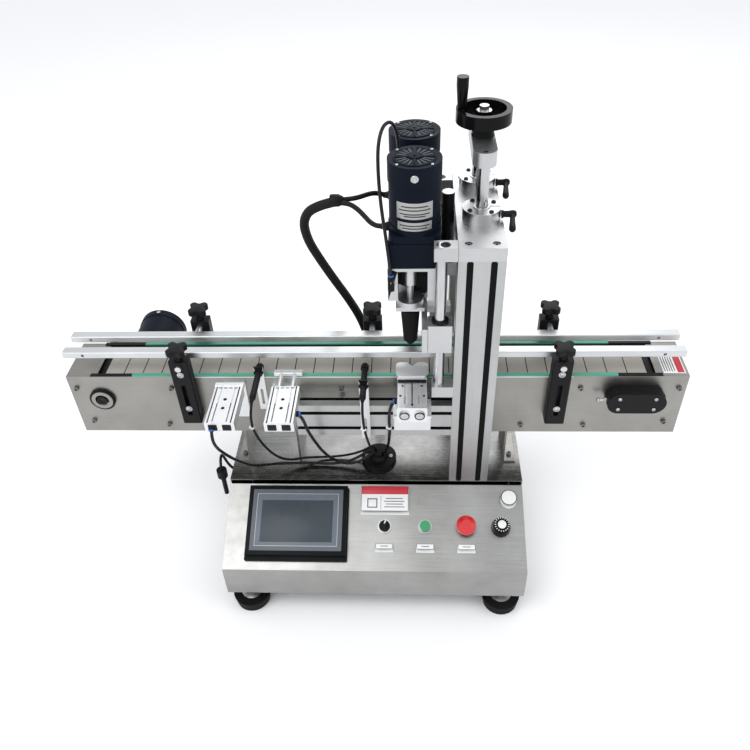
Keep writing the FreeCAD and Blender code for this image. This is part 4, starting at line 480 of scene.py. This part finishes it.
def settle(piece, name, place=None):
    """The fresh piece gets its name, and its place goes into its mesh."""
    piece.name = name
    if place is not None:
        piece.matrix_world = place @ piece.matrix_world
    bpy.ops.object.transform_apply(location=True, rotation=True, scale=True)
    return piece


def finished(piece, finish, body):
    piece.data.materials.clear()
    piece.data.materials.append(finish)
    deselect()
    piece.select_set(True)
    bpy.context.view_layer.objects.active = piece
    bpy.ops.object.shade_smooth_by_angle(angle=math.radians(35))
    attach(piece, body)
    return piece


def in_metres(values):
    return tuple(value / 1000 for value in values)


def block(name, low, high, ease=0.4, place=None):
    """A cube stretched between two corners, with all its edges bevelled."""
    deselect()
    low, high = Vector(in_metres(low)), Vector(in_metres(high))
    bpy.ops.mesh.primitive_cube_add(size=1, location=(low + high) / 2, scale=high - low)
    piece = settle(bpy.context.object, name)
    bpy.ops.object.mode_set(mode="EDIT")
    bpy.ops.mesh.select_all(action="SELECT")
    bpy.ops.mesh.bevel(offset=ease / 1000, segments=2, affect="EDGES")
    bpy.ops.object.mode_set(mode="OBJECT")
    return settle(piece, name, place)


def turned(name, steps, place, sides=32):
    """A disc drawn out and opened or closed in steps of (radius, height), as on a lathe."""
    deselect()
    radius, height = in_metres(steps[0])
    bpy.ops.mesh.primitive_circle_add(vertices=sides, radius=radius, fill_type="NGON",
                                      location=(0, 0, height))
    piece = settle(bpy.context.object, name)
    bpy.ops.object.mode_set(mode="EDIT")
    bpy.ops.mesh.select_all(action="SELECT")
    for wide, high in steps[1:]:
        wide, high = wide / 1000, high / 1000
        bpy.ops.mesh.extrude_region_move(TRANSFORM_OT_translate={"value": (0, 0, high - height)})
        bpy.ops.transform.resize(value=(wide / radius, wide / radius, 1), center_override=(0, 0, high))
        radius, height = wide, high
    bpy.ops.mesh.select_all(action="SELECT")
    bpy.ops.mesh.normals_make_consistent(inside=False)
    bpy.ops.object.mode_set(mode="OBJECT")
    return settle(piece, name, place)


def at(x, y, z, way="z"):
    """A place in the machine's frame, in millimetres, and the way the piece's own Z points there."""
    turns = {"z": Matrix(), "-z": Matrix.Rotation(math.pi, 4, "X"),
             "-y": Matrix.Rotation(math.pi / 2, 4, "X"),
             "y": Matrix.Rotation(-math.pi / 2, 4, "X"), "x": Matrix.Rotation(math.pi / 2, 4, "Y"),
             "-x": Matrix.Rotation(-math.pi / 2, 4, "Y")}
    return Matrix.Translation(in_metres((x, y, z))) @ turns[way]


SLOPE = math.atan2(77, 168)

# Places in millimetres: head motors, lift, conveyor shafts, conveyor motor and clamp levers.
MOTOR_X, LIFT_X, SHAFT_Z = 85, 200, 418
DRIVE_X, DRIVE_Z = -491, 404
LEVER_X, LEVER_BEND, LEVER_Z = 233.4, 252, 796


def on_panel(x, down, out=0.0):
    """A place on the sloped panel: X across, Y up the slope, Z out of it."""
    y = -82 - down * math.cos(SLOPE) - out * math.sin(SLOPE)
    z = 222 - down * math.sin(SLOPE) + out * math.cos(SLOPE)
    return Matrix.Translation(in_metres((x, y, z))) @ Matrix.Rotation(SLOPE, 4, "X")


def copy_of(piece, move, name):
    """The same shape again, with its own mesh, moved by a matrix."""
    made = piece.copy()
    made.data = piece.data.copy()
    made.data.transform(move)
    made.name = name
    bpy.context.scene.collection.objects.link(made)
    return made


def joined(name, pieces):
    deselect()
    for piece in pieces:
        piece.select_set(True)
    bpy.context.view_layer.objects.active = pieces[0]
    if len(pieces) > 1:
        bpy.ops.object.join()
    pieces[0].name = name
    return pieces[0]


def star_head(name, place):
    """A clamping knob: a flared neck under a thick disc drawn in between its lobes, with a domed top."""
    neck = turned(f"{name}_neck", [(4, -5), (4, 0), (8.5, 0), (8, 4), (7.4, 10), (9, 14.5), (13, 17)],
                  place, 40)
    deselect()
    bpy.ops.mesh.primitive_cylinder_add(vertices=40, radius=0.022, depth=0.012, location=(0, 0, 0.0225))
    head = settle(bpy.context.object, f"{name}_head")
    bpy.ops.object.mode_set(mode="EDIT")
    for turn, share in ((2, 0.93), (3, 0.78), (4, 0.66), (5, 0.62)):
        bpy.ops.mesh.select_all(action="DESELECT")
        mesh = bmesh.from_edit_mesh(head.data)
        for vertex in mesh.verts:
            step = round(math.degrees(math.atan2(vertex.co.y, vertex.co.x) - math.radians(45)) / 9) % 10
            vertex.select_set(min(step, 10 - step) == turn)
        mesh.select_flush(True)
        bpy.ops.transform.resize(value=(share, share, 1), center_override=(0, 0, 0))
    bpy.ops.mesh.select_all(action="SELECT")
    bpy.ops.mesh.bevel(offset=0.0022, segments=3, affect="EDGES", clamp_overlap=True)
    bpy.ops.object.mode_set(mode="OBJECT")
    return joined(name, [neck, settle(head, f"{name}_head", place)])


def socket_screw(name, radius, place):
    """A button head with a round socket sunk in its top."""
    head = turned(name, [(radius, 0), (radius, 0.35 * radius), (0.8 * radius, 0.6 * radius),
                         (0.5 * radius, 0.66 * radius),
                         (0.42 * radius, 0.2 * radius)], place, 24)
    return head


def washer_screw(name, radius, place):
    washer = turned(name, [(1.45 * radius, 0), (1.45 * radius, 0.7), (1.3 * radius, 1.0)], place, 28)
    return joined(name,
                  [washer, socket_screw(name + "_head", radius, place @ Matrix.Translation((0, 0, 0.001)))])


# ---------------------------------------------------------------- spindle motors

def fan_cap(side, y):
    """The grille on a motor's top: a well disc coloured as painted shade, bent vanes, a cross and a hub, and
    the ring's own screws.
    """
    x, top = 85, 910
    grip = f"{side}_grip"
    # The disc at the bottom of the grille is near-black painted shade for the well's depth.
    well = turned(f"{side}_fan_well", [(34, 0), (34, 0.5), (33, 0.8), (32, 0.3)], at(x, y, top), 48)
    finished(well, RECESS_SHADE_PAINT, grip)
    rim = turned(f"{side}_fan_rim", [(36, 0), (36, 1.0), (35.4, 1.4), (33.6, 1.4), (33.2, 1.0),
                                     (33.2, 0.6)], at(x, y, top), 64)
    finished(rim, NAVY, grip)
    vane = block(f"{side}_vane", (15, -1.1, 0.2), (31.5, 1.1, 1.6), 0.4)
    vanes = []
    for turn in range(20):
        if turn % 5:
            turned_vane = Matrix.Rotation(math.tau * turn / 20, 4, "Z")
            vanes.append(copy_of(vane, at(x, y, top) @ turned_vane, f"{side}_vane_{turn}"))
    bpy.data.objects.remove(vane)
    finished(joined(f"{side}_fan_vanes", vanes), GREY_VANE, grip)
    bars = [block(f"{side}_bar", (-33.5, -2.4, 0.2), (33.5, 2.4, 2.0), 0.6, at(x, y, top)),
            block(f"{side}_bar_2", (-2.4, -33.5, 0.2), (2.4, 33.5, 2.0), 0.6, at(x, y, top)),
            turned(f"{side}_hub", [(10, 0.2), (10, 1.8), (9, 2.4), (4, 2.4), (3.6, 1.9)], at(x, y, top),
                   32)]
    finished(joined(f"{side}_fan_cross", bars), NAVY, grip)
    screws = [socket_screw(f"{side}_ring_screw_{turn}", 2.6, at(x + 40 * math.cos(a), y + 40 * math.sin(a),
                                                                top))
              for turn, a in enumerate(math.radians(45 + 90 * turn) for turn in range(4))]
    finished(joined(f"{side}_ring_screws", screws), TURNED_STEEL, grip)


def curved_plate(name, y, low, high, spread, radius, lean=0.0):
    """A thin plate bent round a motor's front: an upright edge spun about the motor's axis."""
    deselect()
    start = math.radians(-90 - spread + lean)
    bpy.ops.mesh.primitive_plane_add(size=1, location=(0, 0, 0))
    piece = settle(bpy.context.object, name)
    bpy.ops.object.mode_set(mode="EDIT")
    bpy.ops.mesh.select_all(action="SELECT")
    bpy.ops.mesh.merge(type="CENTER")
    bpy.ops.transform.translate(value=in_metres((MOTOR_X + radius * math.cos(start),
                                                 y + radius * math.sin(start), low)))
    bpy.ops.mesh.extrude_region_move(TRANSFORM_OT_translate={"value": (0, 0, (high - low) / 1000)})
    bpy.ops.mesh.select_all(action="SELECT")
    bpy.ops.mesh.spin(steps=18, angle=-math.radians(2 * spread), center=in_metres((MOTOR_X, y, 0)),
                      axis=(0, 0, 1))
    bpy.ops.mesh.select_all(action="SELECT")
    bpy.ops.mesh.remove_doubles(threshold=0.00001)
    bpy.ops.mesh.normals_make_consistent(inside=False)
    bpy.ops.object.mode_set(mode="OBJECT")
    solid = piece.modifiers.new("Thickness", "SOLIDIFY")
    solid.thickness, solid.offset = 0.0005, 0.0
    bpy.ops.object.modifier_apply(modifier=solid.name)
    return piece


def motor_trim(side, y):
    grip = f"{side}_grip"
    fan_cap(side, y)
    finished(curved_plate(f"{side}_nameplate", y, 821, 850, 42, 43.8), NAMEPLATE, grip)
    finished(curved_plate(f"{side}_lower_plate", y, 799, 815, 40, 43.8), NAMEPLATE, grip)
    for number, (low, spread) in enumerate(((842, 30), (836, 36), (829, 34), (825, 24), (808, 34),
                                            (803, 28))):
        dash = curved_plate(f"{side}_plate_print_{number}", y, low, low + 2.2, spread, 44.0)
        finished(dash, PRINT_GREY, grip)
    eye = turned(f"{side}_cap_screw", [(6.5, -1), (6.5, 1.2), (5.4, 2.0), (3.0, 2.0), (2.4, 1.2)],
                 at(MOTOR_X, y - 45, 893, "-y"))
    finished(eye, TURNED_STEEL, grip)


for side, y in (("front", -6), ("rear", 106)):
    motor_trim(side, y)
for side, (x, y, z) in (("front", (35.4, -6, 786)), ("rear", (35.4, 106, 787.6))):
    boot = turned(f"{side}_lead_gland", [(5.0, -8), (5.6, -4), (6.2, 0), (7.8, 1.5), (7.8, 5.5)],
                  at(x, y, z, "x"), 24)
    finished(boot, BLACK_PLASTIC, f"{side}_grip")
boot = turned("hose_boot", [(9.6, 0), (11, 2), (11.4, 8), (11, 16), (9, 20), (7.5, 24)],
              at(-66, 66, 798.5, "x"), 32)
finished(boot, BLACK_PLASTIC, "lift")


# ---------------------------------------------------------------- portal

# A black strip along each upright's slot, front and rear.
for label, x in (("left", 177), ("right", 217)):
    strip = block(f"{label}_slot_cover", (x - 5.6, -82.5, 225), (x + 5.6, -79, 758), 0.5)
    finished(strip, BLACK_SLOT_STRIP, "base")
    strip = block(f"{label}_rear_slot_cover", (x - 5.6, 193, 225), (x + 5.6, 196.5, 758), 0.5)
    finished(strip, BLACK_SLOT_STRIP, "base")
for side, y in (("front", 21), ("rear", 141)):
    screws = [socket_screw(f"{side}_flange_screw_{turn}", 4.2,
                           at(LIFT_X + 26 * math.cos(a), y + 26 * math.sin(a), 806.8))
              for turn, a in enumerate(math.radians(35 + 90 * turn) for turn in range(4))]
    finished(joined(f"{side}_flange_screws", screws), SCREW_BLACK, "base")
    ring = turned(f"{side}_rod_ring", [(14.5, 0), (14.5, 1.0), (13.6, 1.6), (10.6, 1.6), (10.4, 0.6)],
                  at(LIFT_X, y, 807), 40)
    finished(ring, TURNED_STEEL, "base")
# A near-black hexagon painted as the shade inside the bridge's socket.
hole = turned("bridge_hex_hole", [(4.6, 0), (4.6, 0.3), (4.2, 0.3), (4.0, 0.1)], at(200, 10, 910), 6)
finished(hole, RECESS_SHADE_PAINT, "lift")
# Thin near-black strips painted as the shade in the seams between the blocks.
for place in (-78, 172 + 10):
    seam = block(f"block_seam_{'front' if place < 0 else 'rear'}",
                 (156.7, -82.3 if place < 0 else 168, 760.5),
                 (157.3, -53.8 if place < 0 else 196.3, 785.2), 0.1)
    finished(seam, RECESS_SHADE_PAINT, "base")
for label, y in (("front", -68), ("rear", 182)):
    well = turned(f"{label}_shaft_well", [(8.5, 0), (8.5, 0.35), (8.0, 0.5), (5.0, 0.5), (4.4, 0.2)],
                  at(136, y, 785), 28)
    finished(well, SCREW_BLACK, "base")


# ---------------------------------------------------------------- conveyor

def slat_seams():
    """Dark lines painted as the shade in the hinge gaps between the slats, copied along the belt's top run.
    """
    first = block("slat_seam", (-0.9, -27.2, 473.3), (0.9, 55.2, 473.66), 0.1)
    seams = [copy_of(first, Matrix.Translation(in_metres((-533.8 + 38.1 * step, 0, 0))), f"seam_{step}")
             for step in range(29)]
    bpy.data.objects.remove(first)
    finished(joined("belt_seams", seams), RECESS_SHADE_PAINT, "base")


slat_seams()
for side, x in (("left", -549), ("right", 549)):
    for face, y, way in (("front", -45.2, "-y"), ("rear", 73.2, "y")):
        if side == "right" and face == "front":
            continue
        for number, (outer, inner) in enumerate(((24.5, 21.5), (18, 14.5))):
            ring = turned(f"{side}_{face}_bearing_ring_{number}",
                          [(outer, 0), (outer, 0.5), (outer - 0.6, 0.9), (inner, 0.9), (inner - 0.3, 0.3)],
                          at(x, y, SHAFT_Z, way), 56)
            finished(ring, BLACK_PLASTIC, "base")
            well = turned(f"{side}_{face}_bearing_well_{number}",
                          [(inner, 0), (inner, 1.1), (inner - 0.6, 1.3)],
                          at(x, y, SHAFT_Z, way), 56)
            finished(well, PLATE_STEEL, "base")
        boss = turned(f"{side}_{face}_bearing_core", [(11, 0.8), (11, 1.8), (9.5, 2.2), (5, 2.2),
                                                      (4.4, 1.8)],
                      at(x, y, SHAFT_Z, way), 40)
        finished(boss, BLACK_PLASTIC, "base")

cover_screws = [socket_screw(f"cover_screw_{x}_{z}", 3.6, at(x, -69.8, z, "-y"))
                for x in (478, 546) for z in (417, 443)]
finished(joined("cover_screws", cover_screws), TURNED_STEEL, "base")
lid = turned("grease_nipple", [(4.5, 0), (4.5, 5), (3, 6), (3, 14), (4.2, 15), (4.2, 18), (2.5, 19.5)],
             at(457, -56, 430, "-x"), 20)
finished(lid, TURNED_STEEL, "base")

for side, y, places in (("front", -64, (-367, 362)), ("rear", 92, (-354, 0, 354))):
    for number, x in enumerate(places, start=1):
        for level, z in (("low", 412), ("high", 500)):
            screw = washer_screw(f"{side}_bracket_screw_{number}_{level}", 4.6,
                                 at(x, y, z, "-y" if y < 0 else "y"))
            finished(screw, TURNED_STEEL, "base")


# ---------------------------------------------------------------- stops, clamp and sensors

# Each stop's holes, ports, grooves and dashes are near-black painted shade standing for recesses.
for side, x, body in (("left", -270, "base"), ("right", -161, "base")):
    for number, y in enumerate((-122, -146)):
        hole = turned(f"{side}_stop_hole_{number}", [(3.4, 0), (3.4, 0.25), (3.0, 0.4), (2.2, 0.4),
                                                     (2.0, 0.15)],
                      at(x, y, 490), 24)
        finished(hole, RECESS_SHADE_PAINT, body)
    for number, off in enumerate((-13, 13)):
        port = block(f"{side}_stop_port_{number}", (x + off - 8.2, -185.6, 470.5),
                     (x + off + 8.2, -184.2, 482.5), 1.4)
        finished(port, RECESS_SHADE_PAINT, body)
    for number, off in enumerate((-21.5, 21.5)):
        groove = block(f"{side}_stop_groove_{number}", (x + off - 1.3, -184.5, 489.2),
                       (x + off + 1.3, -86, 490.12), 0.3)
        finished(groove, RECESS_SHADE_PAINT, body)
    for number, off in enumerate((-15, -5, 5, 15)):
        dash = block(f"{side}_stop_dash_{number}", (x + off - 3.4, -91, 489.6),
                     (x + off + 3.4, -88.4, 490.15), 0.3)
        finished(dash, RECESS_SHADE_PAINT, body)

# The clamp's slot line and dots are near-black painted shade standing for its slot and holes.
slot_line = block("clamp_slot", (78.9, -140, 489.7), (81.1, -76, 490.15), 0.4)
finished(slot_line, RECESS_SHADE_PAINT, "base")
bar = block("clamp_bar", (53, -75, 489.6), (107, -68, 492.4), 0.8)
finished(bar, BLACK_PLASTIC, "base")
for number, (x, y) in enumerate(((62, -84), (98, -84), (80, -136), (58, -112), (102, -112))):
    dot = turned(f"clamp_dot_{number}", [(2.4, 0), (2.4, 0.3), (1.8, 0.4), (1.2, 0.15)], at(x, y, 490), 20)
    finished(dot, RECESS_SHADE_PAINT, "base")
for number, x in enumerate((66, 94)):
    ring = turned(f"clamp_cap_ring_{number}", [(9.6, 0), (9.6, 1.0), (8.8, 1.6), (8.0, 1.6), (7.4, 0.6)],
                  at(x, -148, 472, "-y"), 40)
    finished(ring, SCREW_BLACK, "base")
    cap = turned(f"clamp_cap_{number}", [(7.6, 0), (7.6, 1.4), (6.4, 2.2), (2.4, 2.2), (2, 1.6)],
                 at(x, -148, 472, "-y"), 36)
    finished(cap, BRIGHT_STEEL, "base")
for number, x in enumerate((58, 102)):
    bolt = washer_screw(f"clamp_bolt_{number}", 3.6, at(x, -84.1, 400, "-y"))
    finished(bolt, SCREW_BLACK, "base")


def push_fitting(name, place, body):
    """A push-in tube fitting: a steel nut, a black barrel and a blue release ring."""
    nut = turned(name + "_nut", [(6.2, -6), (6.2, -2.6), (5.6, -2.2)], place, 6)
    finished(nut, TURNED_STEEL, body)
    barrel = turned(name + "_barrel", [(5.2, -2.4), (5.6, -1.6), (5.6, 5), (5.0, 6.2)], place, 28)
    finished(barrel, BLACK_PLASTIC, body)
    ring = turned(name + "_ring", [(4.6, 6), (5.0, 6.6), (5.0, 8.4), (4.4, 9.0), (3.3, 9.0), (3.2, 7.4)],
                  place, 28)
    finished(ring, TUBE_BLUE, body)


def towards(start, aim):
    """A place at one point, pointing at another, both in millimetres."""
    start, aim = Vector(in_metres(start)), Vector(in_metres(aim))
    return Matrix.Translation(start) @ (aim - start).to_track_quat("Z", "Y").to_matrix().to_4x4()


push_fitting("left_stop_fitting", towards((-285, -184, 479), (-285, -196, 470)), "base")
push_fitting("right_stop_fitting", at(-134.5, -150, 479, "x"), "base")
push_fitting("clamp_fitting", at(53, -112, 476, "-x"), "base")
push_fitting("head_fitting", at(44, -59, 712, "z"), "front_grip")

for label, x, y, z in (("left", -219, -116, 490), ("right", -12, -116, 490)):
    nose = turned(f"{label}_sensor_tail", [(6.2, -3), (6.2, 3), (5.0, 5), (3.4, 12), (2.7, 14)],
                  at(x, y, z, "-y"), 28)
    finished(nose, BLACK_PLASTIC, "base")


def cable_tie(name, centre, way, radius, body="base"):
    """A flat white strap round a bundle, with its locking head."""
    place = towards(centre, way)
    strap = turned(name, [(radius, -1.6), (radius + 0.9, -1.6), (radius + 0.9, 1.6), (radius, 1.6)], place,
                   32)
    head = block(name + "_head", (radius - 0.4, -2.2, -2.2), (radius + 3.4, 2.2, 2.2), 0.5, place)
    finished(joined(name, [strap, head]), WHITE, body)


cable_tie("left_cable_tie", (-222, -144, 438), (-220, -136, 408), 3.0)
cable_tie("right_cable_tie", (-11, -135.5, 426), (-9.5, -126, 400), 3.0)
cable_tie("clamp_tube_tie", (36, -106, 402), (35, -96, 376), 3.6)

for number, x in enumerate((-19, 33)):
    screw = socket_screw(f"gland_screw_{number}", 4.0, at(x, -18, 229.9))
    finished(screw, WHITE, "base")


# ---------------------------------------------------------------- panel

def plate_on_panel(name, x, down, wide, high, low, top, finish, ease=0.25):
    piece = block(name, (-wide / 2, -high / 2, low), (wide / 2, high / 2, top), ease, on_panel(x, down))
    return finished(piece, finish, "base")


plate_on_panel("screen_rim", -160, 88.4, 208, 147, 1.0, 8.2, SCREEN_RIM, 1.2)
plate_on_panel("screen_inner_rim", -160, 88.4, 190, 129, 6.0, 8.7, SCREEN_FRAME, 0.6)
plate_on_panel("screen_bright_line", -160, 88.4, 172, 111, 6.0, 8.95, BRIGHT_LINE, 0.3)
plate_on_panel("screen_glass", -160, 88.4, 169.6, 108.6, 6.0, 9.1, SCREEN_GREY, 0.3)
plate_on_panel("screen_picture", -160, 91.4, 150, 88, 6.0, 9.2, SCREEN_DARK, 0.2)

plate_on_panel("notice_frame", 22, 40, 99, 54, 0.2, 1.05, PRINT_GREY, 0.1)
plate_on_panel("notice_face", 22, 40, 97.4, 52.4, 0.2, 1.15, WHITE, 0.1)
plate_on_panel("notice_band", 22, 22.5, 97.4, 17, 0.2, 1.3, RED_BAND, 0.1)
plate_on_panel("notice_mark", -4, 50, 21, 20, 0.2, 1.3, PRINT_GREY, 0.1)
plate_on_panel("notice_mark_inside", -4, 50, 17, 16, 0.2, 1.4, WHITE, 0.1)
plate_on_panel("notice_rule", 14, 49, 0.8, 30, 0.2, 1.3, PRINT_GREY, 0.1)
for number, down in enumerate((40, 46, 52, 58)):
    plate_on_panel(f"notice_bar_{number}", 42, down, 42 if number % 2 else 36, 1.6, 0.2, 1.3, PRINT_GREY,
                   0.1)
for number, x in enumerate((22, 106, 190)):
    plate_on_panel(f"tag_frame_{number}", x, 140, 35, 11, 0.2, 1.05, PRINT_GREY, 0.1)
    plate_on_panel(f"tag_face_{number}", x, 140, 33.6, 9.6, 0.2, 1.2, WHITE, 0.1)
    plate_on_panel(f"tag_bar_{number}", x, 140, 16, 1.4, 0.2, 1.35, PRINT_GREY, 0.1)
ring = turned("badge_ring", [(16.6, 0.2), (16.6, 1.1), (15.4, 1.3), (14.6, 1.3)], on_panel(281, 36), 48)
finished(ring, PRINT_GREY, "base")
face = turned("badge_face", [(14.9, 0.2), (14.9, 1.35), (14.4, 1.5)], on_panel(281, 36), 48)
finished(face, WHITE, "base")

pointer = block("selector_line", (-0.9, 0.5, 12.0), (0.9, 9.5, 21.8), 0.3,
                on_panel(22, 97) @ Matrix.Rotation(-0.5, 4, "Z"))
finished(pointer, WHITE, "selector_knob")
hub = turned("dial_centre", [(8.5, 17.6), (8.5, 19.2), (7.4, 20.0), (3, 20.2)], on_panel(262, 97), 36)
finished(hub, WHITE, "speed_dial")
ticks = []
for turn in range(18):
    place = on_panel(262, 97) @ Matrix.Rotation(math.tau * turn / 18, 4, "Z")
    ticks.append(block(f"tick_{turn}", (12.2, -0.7, 17.9), (15.4, 0.7, 18.8), 0.2, place))
finished(joined("dial_ticks", ticks), WHITE, "speed_dial")


def end_label():
    """A plain printed label on the right end cover: a white face, a red band and grey bars."""
    face = block("end_label", (563, -31, 475.8), (605, 55, 476.35), 0.15)
    finished(face, WHITE, "base")
    band = block("end_label_band", (590, -29, 476), (603, 53, 476.5), 0.1)
    finished(band, RED_BAND, "base")
    bars = [block(f"end_label_bar_{number}", (566 + 4.6 * number, -26, 476),
                  (567.6 + 4.6 * number, 50 - 9 * (number % 2), 476.5), 0.1)
            for number in range(5)]
    finished(joined("end_label_bars", bars), PRINT_GREY, "base")


end_label()


# ---------------------------------------------------------------- levers, knobs and conveyor motor

def clamp_lever(name, y):
    """A turned hub, a round knuckle at the bend, and a handle that thickens towards its tip."""
    hub = turned(f"{name}_hub", [(7, 0), (7, 3), (5.6, 4), (5.6, 13), (6.4, 16), (6.4, 22), (5, 25),
                                 (2.5, 26)],
                 at(LEVER_X, y, LEVER_Z, "x"), 28)
    deselect()
    bpy.ops.mesh.primitive_uv_sphere_add(segments=24, ring_count=14, radius=0.0068,
                                         location=in_metres((LEVER_BEND, y, LEVER_Z)))
    knuckle = settle(bpy.context.object, f"{name}_knuckle")
    way = Vector((-4, -44, -8)).to_track_quat("Z", "X").to_matrix().to_4x4()
    handle = turned(f"{name}_handle", [(5.4, 0), (4.6, 8), (4.5, 14), (5.1, 26), (5.9, 36), (6, 40),
                                       (4.8, 43), (2.4, 44.4)],
                    Matrix.Translation(in_metres((LEVER_BEND + 0.4, y, LEVER_Z))) @ way, 28)
    return joined(name, [hub, knuckle, handle])


cap = turned("conveyor_motor_cap", [(50.1, 0), (51.4, 0.8), (51.4, 18), (49, 20), (20, 20.4), (19, 19.2)],
             at(DRIVE_X, 199, DRIVE_Z, "y"), 64)
finished(cap, NAVY, "base")
rim = turned("conveyor_motor_rim", [(50.1, 0), (51.2, 0.8), (51.2, 9), (50.1, 9.8)],
             at(DRIVE_X, 136, DRIVE_Z, "y"), 64)
finished(rim, NAVY, "base")
motor_screws = [socket_screw("conveyor_motor_screw_top", 4.2, at(DRIVE_X, 208, DRIVE_Z + 51.2))]
for number, angle in enumerate((45, 135, 225, 315), start=1):
    x = DRIVE_X + 40 * math.cos(math.radians(angle))
    z = DRIVE_Z + 40 * math.sin(math.radians(angle))
    motor_screws.append(socket_screw(f"conveyor_motor_screw_{number}", 3.6, at(x, 219, z, "y")))
finished(joined("conveyor_motor_screws", motor_screws), TURNED_STEEL, "base")

for number, (left, right) in enumerate(((-390, 75), (90, 390)), start=1):
    lip = block(f"strip_lip_{number}", (left, -40.7, 473.6), (right, -40.05, 475.8), 0.1)
    finished(lip, WHITE, "base")

for side, y in (("front", 13), ("rear", 133)):
    name = f"{side}_clamp_lever"
    finished(clamp_lever(f"{name}_body", y), BLACK_PLASTIC, name)
    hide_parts(name)

for side, places, y in (("front", (-367, 362), -52), ("rear", (-354, 0, 354), 80)):
    for number, x in enumerate(places, start=1):
        name = f"{side}_star_knob_{number}"
        knob = star_head(f"{name}_grip", at(x, y, 530.4))
        finished(knob, BLACK_PLASTIC, name)
        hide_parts(name)


# ---------------------------------------------------------------- studio

def studio():
    bpy.ops.mesh.primitive_plane_add(size=30, location=(0, 0, 0))
    floor = bpy.context.object
    floor.name = "studio_floor"
    paint = bpy.data.materials.new("Pale floor")
    paint.use_nodes = True
    paint.node_tree.nodes["Principled BSDF"].inputs["Base Color"].default_value = (0.97, 0.97, 0.97, 1)
    paint.node_tree.nodes["Principled BSDF"].inputs["Roughness"].default_value = 0.9
    floor.data.materials.append(paint)
    world = bpy.data.worlds.new("Soft room")
    bpy.context.scene.world = world
    world.use_nodes = True
    world.node_tree.nodes["Background"].inputs["Color"].default_value = (0.95, 0.97, 1.0, 1)
    world.node_tree.nodes["Background"].inputs["Strength"].default_value = 0.95
    bpy.context.scene.view_settings.view_transform = "Standard"
    for name, place, size, power in (("Key", (-1.2, -1.2, 3.0), 1.8, 30),
                                     ("Fill", (2.2, -0.6, 2.2), 1.6, 12),
                                     ("Back", (0.4, 2.4, 2.6), 2.0, 22)):
        data = bpy.data.lights.new(name, "AREA")
        data.size, data.energy = size, power
        lamp = bpy.data.objects.new(name, data)
        lamp.location = place
        lamp.rotation_euler = (Vector((0, 0, 0.4)) - Vector(place)).to_track_quat("-Z", "Y").to_euler()
        bpy.context.scene.collection.objects.link(lamp)


def camera():
    pitch, yaw, roll = 0.7031, -0.0682, 0.0454
    ahead = Vector((math.sin(yaw) * math.cos(pitch), math.cos(yaw) * math.cos(pitch), -math.sin(pitch)))
    right = Vector((math.cos(yaw), -math.sin(yaw), 0))
    down = ahead.cross(right)
    right, down = (math.cos(roll) * right + math.sin(roll) * down,
                   math.cos(roll) * down - math.sin(roll) * right)
    turn = Matrix((right, -down, -ahead)).transposed()
    data = bpy.data.cameras.new("Camera")
    data.lens = 36.02
    data.sensor_width = 36
    made = bpy.data.objects.new("Camera", data)
    made.matrix_world = Matrix.Translation((0.0837, -1.1519, 1.4244)) @ turn.to_4x4()
    bpy.context.scene.collection.objects.link(made)
    bpy.context.scene.camera = made


studio()
camera()
